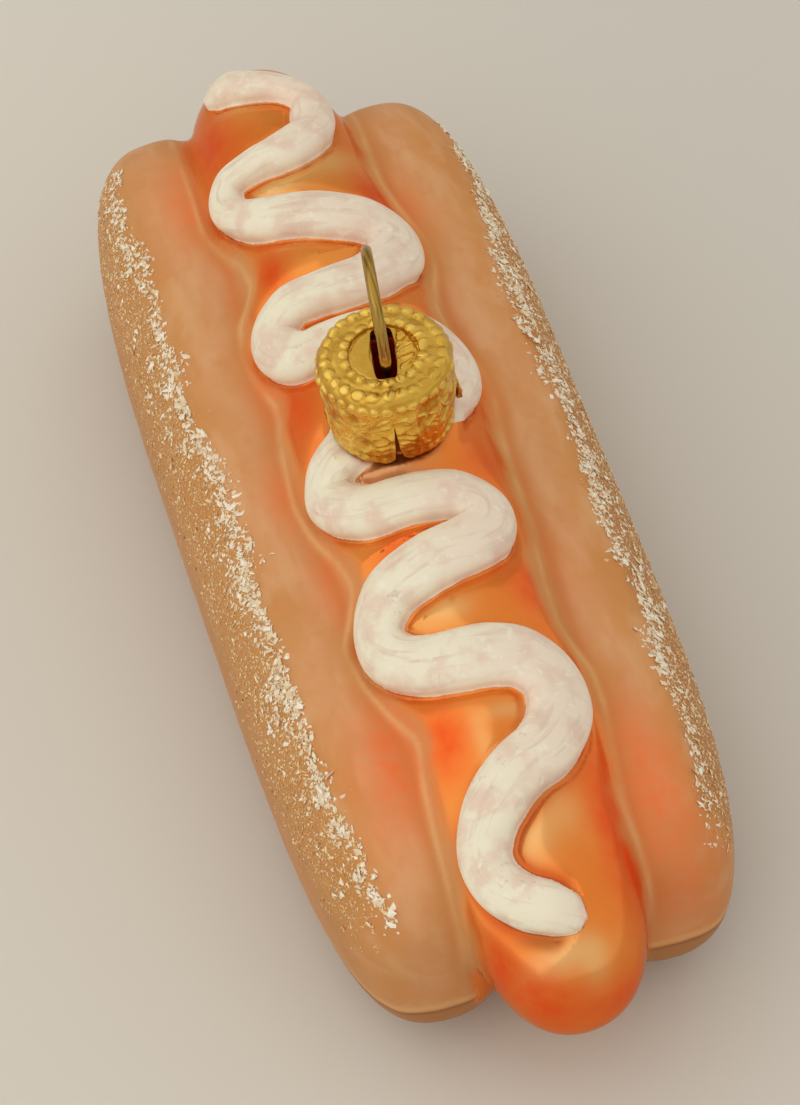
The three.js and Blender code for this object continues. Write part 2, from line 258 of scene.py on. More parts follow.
def make_sauce():
    flat = catmull(SAUCE, 0.2)
    wide = flat[:, 2]
    line = even(np.column_stack([flat[:, :2], top_height(flat[:, :2]), wide]), SAUCE_STEP)
    wide = line[:, 3].copy()
    line = line[:, :3].copy()
    line[:, 2] = top_height(line[:, :2])
    n = unit(gradient(plain_field, line, 0.3))
    for _ in range(6):  # the frame turns gently from step to step
        n[1:-1] = unit(n[:-2] + 2 * n[1:-1] + n[2:])
    t = unit(np.gradient(line, axis=0))
    n = unit(n - (n * t).sum(1, keepdims=True) * t)
    b = np.cross(t, n)
    s = np.r_[0, np.cumsum(np.linalg.norm(np.diff(line, axis=0), axis=1))]
    wave = np.column_stack([s, 0 * s, 0 * s])
    w = wide + 0.04 * noise(wave, 2.2, 6)
    start, left = np.clip(s / 3.4, 0, 1), np.clip((s[-1] - s) / 4.4, 0, 1)
    w = w * (1 - (1 - start) ** 2) ** 0.5               # rounded off where it starts
    w = w * (1 - (1 - left) ** 2.2) ** 0.5              # and where it ends
    w = np.maximum(w, 0.05)
    h = SAUCE_HEIGHT * (0.3 + 0.7 * ramp(s, -1.0, 3.4)) * (0.3 + 0.7 * ramp(s[-1] - s, -1.0, 3.4))
    h = h * (0.96 + 0.04 * noise(wave, 5.0, 9))
    return dict(c=line, n=n, t=t, b=b, s=s, w=w, h=h, w0=wide)


SAUCE_LINE = make_sauce()


def sauce_place(p, reach=6.5):
    """For points near the sauce: (distance to its surface, distance to its edge along the body,
    how far along it, how far across it). Other points get large numbers."""
    L = SAUCE_LINE
    n = len(p)
    out = np.full((4, n), 9.0)
    out[2:] = 0
    near = np.flatnonzero(p[:, 2] > 13.0)
    c32 = L["c"].astype(np.float32)
    c2 = (c32**2).sum(1)
    for at in range(0, len(near), 20000):
        ids = near[at:at + 20000]
        q = p[ids]
        d = c2[None, :] - 2 * q.astype(np.float32) @ c32.T
        i = np.argmin(d, axis=1)
        r = q - L["c"][i]
        keep = (r * r).sum(1) < reach * reach
        ids, q, i, r = ids[keep], q[keep], i[keep], r[keep]
        f = (r * L["t"][i]).sum(1) / SAUCE_STEP
        f = np.clip(f, -0.5, 0.5)
        g = np.clip(i + f, 0, len(L["s"]) - 1.0001)
        a = g.astype(int)
        f = g - a
        mix = lambda v: v[a] * (1 - f)[:, None] + v[a + 1] * f[:, None] if v.ndim == 2 else v[a] * (1 - f) + v[a + 1] * f
        r = q - mix(L["c"])
        u, v = (r * mix(L["b"])).sum(1), (r * mix(L["n"])).sum(1)
        tail = (a >= len(L["s"]) - 3) | (a <= 1)
        tau = np.where(tail, (r * mix(L["t"])).sum(1), 0)
        w, h, s = mix(L["w"]), mix(L["h"]), mix(L["s"])
        e = 2.0
        across = ((np.abs(u) + 1e-9) ** e + (np.abs(tau) + 1e-9) ** e) ** (1 / e)
        m = 2.2
        x, y = across / w, np.abs(v) / h
        k = (x**m + y**m + 1e-9) ** (1 / m)
        slope = np.sqrt((x ** (m - 1) / w) ** 2 + (y ** (m - 1) / h) ** 2) * k ** (1 - m)
        out[0, ids] = np.clip((k - 1) / np.maximum(slope, 0.05), -3, 9)
        out[1, ids] = across - w
        out[2, ids] = s
        out[3, ids] = u
    return out


# ---------------------------------------------------------------- whole body
def places(p):
    """Where each point is, in the terms that the relief and the paint use."""
    bun, sausage = bun_field(p), sausage_field(p)
    sauce = sauce_place(p)
    q = to_cap(p)
    return dict(bun=bun, sausage=sausage, crease=sausage - bun, sauce=sauce[0], edge=sauce[1], along=sauce[2],
                across=sauce[3], cap_r=np.hypot(q[:, 0], q[:, 1]), cap_z=q[:, 2])


# The bun's torn lip, as (along, out from the middle): it bows out round the turns of the
# sauce and comes back in between them.
LIP = {
    -1: [(60, 9.4), (46, 9.6), (38, 9.8), (33.5, 10.0), (31, 9.2), (27, 7.9), (23, 7.5), (20.3, 9.6), (16.5, 10.4), (12.4, 9.9),
         (8, 9.0), (3.2, 10.0), (-3.5, 10.6), (-7.5, 10.0), (-11.5, 8.7), (-15.5, 8.2), (-20.5, 10.6), (-25.3, 10.0), (-29, 8.8),
         (-33.2, 7.3), (-37.1, 8.0), (-41.5, 8.4), (-48.1, 8.7), (-60, 7.8)],
    1: [(60, 8.8), (46.5, 8.9), (37.8, 8.5), (34.4, 8.4), (30.5, 9.2), (25.9, 10.4), (22, 10.3), (18.5, 9.2), (14.8, 8.6),
        (11.4, 9.2), (8.0, 10.6), (4, 10.8), (-1, 10.0), (-8, 9.5), (-13, 9.3), (-18, 8.6), (-24.5, 8.1), (-29.5, 9.7),
        (-33.6, 9.6), (-37.5, 8.8), (-43.1, 8.1), (-48.8, 8.4), (-60, 8.2)],
}
LIP_Y = np.arange(-62, 62.01, 0.25)


def lip_line(side):
    q = np.array(sorted(LIP[side]), float)
    x = np.interp(LIP_Y, q[:, 0], q[:, 1])
    k = np.hanning(15)
    return np.convolve(np.pad(x, 7, mode="edge"), k / k.sum(), "valid")


LIP_X = {side: lip_line(side) for side in (-1, 1)}


def lip(p):
    """How far outside the lip of the bun each point is."""
    left, right = (np.interp(p[:, 1], LIP_Y, LIP_X[side]) for side in (-1, 1))
    return 1.15 * (np.abs(p[:, 0]) - np.where(p[:, 0] < 0, left, right))


def fold_distance(p):
    """Distance in plan from the fold in front of the collar, and how far along it, from 0 to 1."""
    q = even(np.array(FOLD), 0.2)
    d = np.full(len(p), 9.0)
    t = np.zeros(len(p))
    near = np.flatnonzero((p[:, 2] > 24) & (np.abs(p[:, 0] + 1.8) < 7) & (np.abs(p[:, 1] + 6.1) < 4))
    r = np.hypot(p[near, 0][:, None] - q[:, 0], p[near, 1][:, None] - q[:, 1])
    k = np.argmin(r, axis=1)
    d[near] = r[np.arange(len(near)), k]
    t[near] = k / (len(q) - 1)
    return d, t


def body_field(p, full=False):
    w = places(p)
    base = smooth_min(w["bun"], w["sausage"], CREASE)
    q = lip(p)
    upper = ramp(p[:, 2], 7.0, 10.0)
    uneven = 0.65 + 0.5 * noise(p * np.array([0.3, 1, 0.3]), 5.0, 8)
    base = base - upper * uneven * (0.09 * bump(q, 0.0, 0.5) - 0.07 * bump(q, -0.95, 0.55))
    base = base + upper * (0.07 + 0.06 * noise(p * np.array([0.4, 1, 0.4]), 7.0, 3)) * bump(q, 3.4, 1.7)
    # a fine groove beside the sauce, and a wide shallow dip round it
    beside = ramp(w["along"], 0.1, 2.2) * ramp(SAUCE_LINE["s"][-1] - w["along"], 0.1, 2.2)
    base = base + 0.12 * beside * bump(w["edge"], 0.38, 0.34) * (w["edge"] > -1)
    base = base + (0.34 + 0.12 * noise(p, 4.0, 27)) * beside * bump(np.maximum(w["edge"], 0), 0.0, 1.45) * ramp(-q, 0.5, 2.5)
    base = base - 0.05 * noise(p, 9.0, 31) - 0.015 * noise(p, 2.6, 33)
    fold, along = fold_distance(p)
    base = base - 0.55 * np.exp(-((fold / 0.58) ** 2)) * ramp(along, 0.0, 0.2) * (1 - 0.75 * ramp(along, 0.55, 1.0))
    # the sauce runs on under the foot of the cap and stops at the collar
    clear = np.maximum(w["cap_r"] - CAP["top"] - 0.45, -CAP["gap"] - w["cap_z"])
    sauce = smooth_max(w["sauce"], -clear, 0.3)
    sauce = smooth_max(sauce, NECK["collar"] - 1.0 - w["cap_r"], 0.5)
    sauce = sauce - 0.03 * noise(p, 1.9, 41)
    f = smooth_min(base, sauce, 0.42)
    # the collar under the cap, the neck inside it, and its bore
    r, z = w["cap_r"], w["cap_z"]
    qx, qz = r - (NECK["collar"] - 2.0), z - (-CAP["gap"] - 2.0)
    collar = np.hypot(np.maximum(qx, 0), np.maximum(qz, 0)) + np.minimum(np.maximum(qx, qz), 0) - 2.0
    collar = np.where(z < -9, 9.0, collar)
    f = smooth_min(f, collar, 0.9)
    neck = smooth_max(r - NECK["radius"], z - NECK["top"], 0.5)
    neck = np.where(z < -9, 9.0, neck)
    f = smooth_min(f, neck, 0.5)
    bore = smooth_max(r - NECK["bore"], NECK["top"] - NECK["bore_depth"] - z, 0.6)
    f = smooth_max(f, -bore, 0.3)
    f = smooth_max(f, -p[:, 2], 0.25)
    return (f, base, sauce, w) if full else f


# ---------------------------------------------------------------- surface from the field
def skin(step=0.3, low=(-21.6, -59.4, -0.9), high=(21.6, 59.4, 39.3), coarse=4):
    """A closed surface round the body: one vertex in each cell that it passes through."""
    low, high = np.array(low), np.array(high)
    big = step * coarse
    nb = np.ceil((high - low) / big).astype(int) + 1
    g = [low[k] + big * np.arange(nb[k]) for k in range(3)]
    G = np.stack(np.meshgrid(*g, indexing="ij"), -1).reshape(-1, 3)
    F = body_field(G).reshape(nb)
    near = np.abs(F) < big * 1.7
    cells = np.zeros(nb - 1, bool)
    lo_s = np.full(nb - 1, False)
    hi_s = np.full(nb - 1, False)
    for a in (0, 1):
        for b in (0, 1):
            for c in (0, 1):
                sl = (slice(a, a + nb[0] - 1), slice(b, b + nb[1] - 1), slice(c, c + nb[2] - 1))
                cells |= near[sl]
                lo_s |= F[sl] < 0
                hi_s |= F[sl] >= 0
    cells |= lo_s & hi_s
    nf = (nb - 1) * coarse + 1
    # known sign away from the band, from the coarse points
    V = np.repeat(np.repeat(np.repeat(np.where(F < 0, -9.0, 9.0).astype(np.float32), coarse, 0), coarse, 1), coarse, 2)
    V = V[:nf[0], :nf[1], :nf[2]]
    fine = np.zeros(nf, bool)
    up = np.repeat(np.repeat(np.repeat(cells, coarse, 0), coarse, 1), coarse, 2)
    for a in (0, 1):
        for b in (0, 1):
            for c in (0, 1):
                fine[a:a + up.shape[0], b:b + up.shape[1], c:c + up.shape[2]] |= up
    idx = np.argwhere(fine)
    vals = np.empty(len(idx), np.float32)
    for at in range(0, len(idx), 200000):
        vals[at:at + 200000] = body_field(low + step * idx[at:at + 200000])
    V[fine] = vals
    neg = V < 0
    count = np.zeros(nf - 1, np.int8)
    for a in (0, 1):
        for b in (0, 1):
            for c in (0, 1):
                count += neg[a:a + nf[0] - 1, b:b + nf[1] - 1, c:c + nf[2] - 1]
    act = np.argwhere((count > 0) & (count < 8))
    number = np.full(nf - 1, -1, np.int32)
    number[act[:, 0], act[:, 1], act[:, 2]] = np.arange(len(act))
    corners = [(a, b, c) for a in (0, 1) for b in (0, 1) for c in (0, 1)]
    cv = {k: V[act[:, 0] + k[0], act[:, 1] + k[1], act[:, 2] + k[2]].astype(float) for k in corners}
    total, hits = np.zeros((len(act), 3)), np.zeros(len(act))
    for k in corners:
        for axis in range(3):
            if k[axis]:
                continue
            m = tuple(1 if j == axis else k[j] for j in range(3))
            a, b = cv[k], cv[m]
            cross = (a < 0) != (b < 0)
            t = np.where(cross, a / np.where(cross, a - b, 1), 0)
            pos = np.tile(np.array(k, float), (len(act), 1))
            pos[:, axis] = t
            total += np.where(cross[:, None], pos, 0)
            hits += cross
    verts = low + step * (act + total / hits[:, None])
    quads = []
    for axis in range(3):
        u, v = [(1, 2), (2, 0), (0, 1)][axis]
        a = [slice(1, nf[k] - 1) for k in range(3)]
        a[axis] = slice(0, nf[axis] - 1)
        b = list(a)
        b[axis] = slice(1, nf[axis])
        s0, s1 = neg[tuple(a)], neg[tuple(b)]
        e = np.argwhere(s0 != s1)
        inside_first = s0[e[:, 0], e[:, 1], e[:, 2]]
        e = e + np.array([0 if k == axis else 1 for k in range(3)])
        du, dv = np.zeros(3, int), np.zeros(3, int)
        du[u], dv[v] = 1, 1
        q = [number[tuple((e - x).T)] for x in (du + dv, dv, 0 * du, du)]
        q = np.stack(q, 1)
        q = np.where(inside_first[:, None], q, q[:, ::-1])
        quads.append(q)
    return verts, np.vstack(quads)


def settle(p, limit=0.2):
    """Moves points onto the exact surface."""
    g = gradient(body_field, p)
    g = g / np.maximum((g * g).sum(1, keepdims=True), 0.1)
    for _ in range(3):
        step = body_field(p)[:, None] * g
        size = np.linalg.norm(step, axis=1, keepdims=True)
        p = p - step * np.minimum(1, limit / np.maximum(size, 1e-9))
    return p


# ---------------------------------------------------------------- making meshes
def mesh_object(name, verts, faces, smooth=True):
    """A mesh piece from points in millimetres and equal-sided faces."""
    faces = np.asarray(faces, np.int32)
    k = faces.shape[1]
    me = bpy.data.meshes.new(name)
    me.vertices.add(len(verts))
    me.vertices.foreach_set("co", (np.asarray(verts) * MM).astype(np.float32).ravel())
    me.loops.add(len(faces) * k)
    me.loops.foreach_set("vertex_index", faces.ravel())
    me.polygons.add(len(faces))
    me.polygons.foreach_set("loop_start", np.arange(0, len(faces) * k, k, dtype=np.int32))
    me.update(calc_edges=True)
    me.polygons.foreach_set("use_smooth", np.full(len(faces), smooth))
    me.update()
    ob = bpy.data.objects.new(name, me)
    bpy.context.scene.collection.objects.link(ob)
    return ob


def put(ob, name, values):
    a = ob.data.attributes.get(name) or ob.data.attributes.new(name, "FLOAT", "POINT")
    a.data.foreach_set("value", np.asarray(values, np.float32))


def triangles_of(ob):
    me = ob.data
    me.calc_loop_triangles()
    v = np.empty(len(me.vertices) * 3, np.float32)
    me.vertices.foreach_get("co", v)
    t = np.empty(len(me.loop_triangles) * 3, np.int32)
    me.loop_triangles.foreach_get("vertices", t)
    return v.reshape(-1, 3).astype(float) / MM, t.reshape(-1, 3)


def replace_with(ob, modifier):
    """Applies a modifier for good."""
    dg = bpy.context.evaluated_depsgraph_get()
    me = bpy.data.meshes.new_from_object(ob.evaluated_get(dg))
    ob.modifiers.remove(modifier)
    old = ob.data
    ob.data = me
    bpy.data.meshes.remove(old)


# ---------------------------------------------------------------- glass body
def spot(p, x, y, z, r):
    d = (p - np.array([x, y, z])) / r
    return np.exp(-(d * d).sum(1))


def round_lobe(p):
    """Angle of each point round the middle of its lobe: 0 is outwards, 90 is up."""
    out = np.empty(len(p))
    for side in (-1, 1):
        m = (p[:, 0] < 0) == (side < 0)
        s = LOBES[side]
        t = (p[m, 1] - s["centre"]) / s["half_length"]
        x = side * p[m, 0] - (BUN["offset"] + s["splay"] * t * t + s["skew"] * t)
        out[m] = np.degrees(np.arctan2(p[m, 2] - s["z"], x))
    return out


# Where the glitter starts on each lobe, as (along, angle round the lobe).
GLITTER = {
    -1: [(-60, 72), (-45, 67), (-33, 63), (-16, 63.5), (6, 64.5), (12, 61.5), (32, 65), (47, 64), (60, 60)],
    1: [(-60, 72), (-46, 66), (-36, 62), (-17, 61), (3, 58), (19, 63), (32, 54), (45, 46), (60, 40)],
}


def lobe_end(p):
    """0 along the lobe, rising to 1 over its rounded ends."""
    out = np.empty(len(p))
    for side in (-1, 1):
        m = (p[:, 0] < 0) == (side < 0)
        s = LOBES[side]
        out[m] = ramp(np.abs(p[m, 1] - s["centre"]) / s["half_length"], 0.84, 0.98)
    return out


def past_glitter_edge(p, angle):
    """How far down the lobe from the inner edge of the glitter, in degrees."""
    out = np.empty(len(p))
    for side in (-1, 1):
        m = (p[:, 0] < 0) == (side < 0)
        q = np.array(GLITTER[side], float)
        out[m] = np.interp(p[m, 1], q[:, 0], q[:, 1])
    return out - angle


def glass_body():
    verts, quads = skin()
    ob = mesh_object("painted_glass_body", verts, quads)
    mod = ob.modifiers.new("fewer", "DECIMATE")
    mod.ratio = 190000 / (2 * len(quads))
    mod.use_collapse_triangulate = True
    replace_with(ob, mod)
    p, tri = triangles_of(ob)
    p = settle(p)
    low, high = (np.array(v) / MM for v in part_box("glass_body"))
    p = np.clip(p, low + 0.005, high - 0.005)
    ob.data.vertices.foreach_set("co", (p * MM).astype(np.float32).ravel())
    ob.data.update()
    n = unit(gradient(body_field, p, 0.05))
    flat = p[:, 2] < 0.012
    n[flat] = (0, 0, -1)
    ob.data.polygons.foreach_set("use_smooth", np.ones(len(ob.data.polygons), bool))
    ob.data.normals_split_custom_set_from_vertices(n.tolist())

    w = places(p)
    q = lip(p)
    angle = round_lobe(p)
    put(ob, "lip", np.clip(q, -12, 14))
    full = body_field(p, True)
    put(ob, "own", np.clip(full[2] - full[1], -2, 6))
    put(ob, "edge", np.clip(w["edge"], -3, 9))
    put(ob, "along", w["along"])
    put(ob, "across", w["across"])
    put(ob, "crease", np.clip(w["crease"], -12, 14))
    put(ob, "angle", angle)
    put(ob, "end", lobe_end(p))
    put(ob, "beside", ramp(w["along"], 0.3, 3.0) * ramp(SAUCE_LINE["s"][-1] - w["along"], 0.3, 3.0))
    put(ob, "glitter", past_glitter_edge(p, angle))
    blush = (1.0 * spot(p, 11, -48.6, 18.5, (5.0, 7.0, 9)) + 0.7 * spot(p, 11.4, -39, 22, (3.2, 6.5, 6))
             + 0.8 * spot(p, -9.6, 38, 24, (3.4, 7, 6)) + 0.8 * spot(p, -9.0, 12, 26, (2.0, 5.5, 5))
             + 0.7 * spot(p, -11.2, -1.8, 24.5, (1.7, 4, 4)) + 0.85 * spot(p, -9.1, -33.2, 24.2, (2.7, 6.0, 5))
             + 0.6 * spot(p, 9.6, 31, 25, (2.2, 4.5, 4)) + 0.35 * spot(p, 9.8, 5, 24.5, (1.8, 5, 4))
             + 0.6 * spot(p, -9.4, -13, 24.4, (2.0, 5, 5)) + 0.2 * spot(p, 10.6, -17, 24.5, (2.2, 5, 5)) + 0.4 * spot(p, -11.5, -36, 22.0, (3.5, 9, 6)))
    put(ob, "blush", np.clip(blush, 0, 1))
    deep = (spot(p, -6.2, 44.6, 24.5, (2.6, 6, 6)) + 1.0 * spot(p, 7.2, 31.2, 26, (2.6, 3.2, 5)) + spot(p, -5.6, 22.6, 28, (1.8, 2.8, 4))
            + 0.9 * spot(p, -7.3, 5.6, 27, (2.0, 4.2, 4)) + 0.8 * spot(p, -3.0, -14.6, 29, (3.2, 1.2, 5))
            + 0.9 * spot(p, 6.8, -21.5, 27.6, (2.6, 3.4, 5)) + 1.0 * spot(p, -5.4, -35, 27, (2.3, 4.0, 5))
            + 1.2 * spot(p, 7.0, -46.5, 23.2, (2.8, 9.0, 7)) + 0.9 * spot(p, -3.6, -57.0, 17.5, (3.2, 3.5, 4.5))
            + 0.8 * spot(p, 3.5, -58.0, 15.5, (4.5, 3.0, 3.5)) + 0.9 * spot(p, -6.6, -53.5, 19.5, (1.7, 3.0, 4))
            + 0.6 * spot(p, 8.2, 10, 26.5, (1.6, 5, 4)) + 0.6 * spot(p, 7.0, -6.0, 27.5, (2.4, 3.2, 4)))
    put(ob, "deep", np.clip(deep, 0, 1))
    # the pale spots mark painted highlights: gold reflections beside the sauce and on the tip
    pale = (1.0 * spot(p, -1.8, 48.2, 25.0, (3.6, 1.2, 4)) + 1.0 * spot(p, -2.2, 33.4, 28.8, (2.6, 1.3, 4)) + 1.0 * spot(p, 2.6, 36.0, 28.2, (4.2, 2.4, 4)) + 0.5 * spot(p, -2.4, 24.6, 29.3, (2.8, 0.9, 4))
            + 0.7 * spot(p, -1.6, -23.2, 29.5, (2.6, 1.3, 4)) + 0.6 * spot(p, 0.6, -34.4, 28.7, (2.6, 0.9, 4)) + 0.6 * spot(p, -2.4, -36.4, 28.2, (0.9, 2.6, 4))
            + 0.8 * spot(p, -1.2, -46.6, 26, (2.2, 2.4, 4)) + 0.5 * spot(p, 2.4, -44.6, 26.5, (2.2, 2.6, 4))
            + 1.0 * spot(p, -2.2, -56.2, 21.6, (4.0, 1.3, 3)) + 0.7 * spot(p, 1.2, -57.0, 20.9, (1.3, 1.7, 3)))
    put(ob, "pale", np.clip(pale, 0, 1))
    put(ob, "bore", ((w["cap_r"] < NECK["bore"] + 0.5) & (w["cap_z"] > -2.7)).astype(float)
        * ramp(NECK["bore"] + 0.35 - w["cap_r"], 0, 0.3))
    put(ob, "neck", ramp(5.9 - w["cap_r"], 0, 0.4) * ramp(w["cap_z"] + 0.9, 0, 0.5))
    d, t = fold_distance(p)
    put(ob, "fold", ramp(2.2 - d, 0, 1.6) * ramp(t, -0.05, 0.05) * (1 - 0.8 * ramp(t, 0.5, 0.95)) * (w["edge"] > -0.1))
    return ob, p, tri, n, w, q


# ---------------------------------------------------------------- glitter
def glitter(name, p, tri, normal, weight, count, size, seed, sides, spread=0.0):
    """Small irregular flakes stuck to the skin, more of them where weight is higher."""
    rng = np.random.default_rng(seed)
    a, b, c = p[tri[:, 0]], p[tri[:, 1]], p[tri[:, 2]]
    area = 0.5 * np.linalg.norm(np.cross(b - a, c - a), axis=1)
    w = area * weight[tri].mean(1)
    pick = rng.choice(len(tri), count, p=w / w.sum())
    r1, r2 = np.sqrt(rng.random(count)), rng.random(count)
    u, v, s = 1 - r1, r1 * (1 - r2), r1 * r2
    at = u[:, None] * a[pick] + v[:, None] * b[pick] + s[:, None] * c[pick]
    n = unit(u[:, None] * normal[tri[pick, 0]] + v[:, None] * normal[tri[pick, 1]] + s[:, None] * normal[tri[pick, 2]])
    if spread:  # flakes clump together
        lead = rng.integers(0, count, count)
        near = rng.random(count) < 0.55
        t = unit(np.cross(n, rng.normal(size=(count, 3))))
        at2 = at[lead] + t * (spread * rng.random((count, 1)))
        at = np.where(near[:, None], at2, at)
        n = np.where(near[:, None], n[lead], n)
    r = size[0] * np.exp(size[1] * rng.normal(size=count))
    r = np.clip(r, 0.045, size[2])
    along = np.array([0, 1.0, 0.0])
    t = unit(along - (n @ along)[:, None] * n)
    turn = rng.normal(0.5, 0.75, count)
    bt = np.cross(n, t)
    e1 = np.cos(turn)[:, None] * t + np.sin(turn)[:, None] * bt
    e2 = np.cross(n, e1)
    long = 1 + 1.1 * rng.random(count) ** 2
    k = sides
    th = (np.arange(k) + 0.35 * rng.normal(size=(count, k))) * 2 * np.pi / k
    rad = r[:, None] * (0.45 + 0.75 * rng.random((count, k)))
    x, y = rad * np.cos(th) * long[:, None], rad * np.sin(th) / np.sqrt(long)[:, None]
    tilt = 0.28 * rng.normal(size=(count, 2))
    lift = 0.02 + x * tilt[:, :1] + y * tilt[:, 1:]
    lift = np.clip(lift, -0.01, 0.4 * r[:, None] + 0.03)
    rim = at[:, None] + x[..., None] * e1[:, None] + y[..., None] * e2[:, None] + lift[..., None] * n[:, None]
    top = at + n * (0.03 + 0.32 * r * (0.5 + rng.random(count)))[:, None] + e1 * (0.2 * r * rng.normal(size=count))[:, None]
    low = at - n * 0.05
    verts = np.concatenate([rim, top[:, None], low[:, None]], 1)
    box = [np.array(v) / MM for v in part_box("glass_body")]
    verts = np.clip(verts, box[0] + 0.002, box[1] - 0.002)
    base = (np.arange(count) * (k + 2))[:, None]
    faces = []
    for i in range(k):
        j = (i + 1) % k
        faces.append(np.column_stack([base[:, 0] + i, base[:, 0] + j, base[:, 0] + k]))
        faces.append(np.column_stack([base[:, 0] + j, base[:, 0] + i, base[:, 0] + k + 1]))
    ob = mesh_object(name, verts.reshape(-1, 3), np.vstack(faces), smooth=False)
    put(ob, "shade", np.repeat(rng.random(count), k + 2))
    return ob


# ---------------------------------------------------------------- cap
def stroke(u, v, x0, y0, x1, y1, width, height, bend=0.0):
    """Relief of one embossed line from (x0, y0) to (x1, y1), thinner at its ends."""
    dx, dy = x1 - x0, y1 - y0
    length = math.hypot(dx, dy)
    t = np.clip(((u - x0) * dx + (v - y0) * dy) / length**2, 0, 1)
    mx, my = x0 + t * dx, y0 + t * dy
    s = bend * 4 * t * (1 - t)
    mx, my = mx - s * dy / length, my + s * dx / length
    d = np.hypot(u - mx, v - my)
    wide = width * (0.45 + 0.55 * np.sin(np.pi * np.clip(t, 0.02, 0.98)) ** 0.5)
    return height * np.exp(-((d / wide) ** 2) * 1.6)


def pearls(theta, position, count, at, radius, height, phase=0.0, ring=5.0):
    """Relief of a ring of beads: position runs across the ring, ring is its radius."""
    pitch = 2 * np.pi / count
    a = ((theta + phase) / pitch) % 1.0 - 0.5
    d = np.hypot(a * pitch * ring, position - at) / radius
    return height * np.sqrt(np.maximum(0, 1 - d * d)) ** 0.8


CAP_COLUMNS = 416


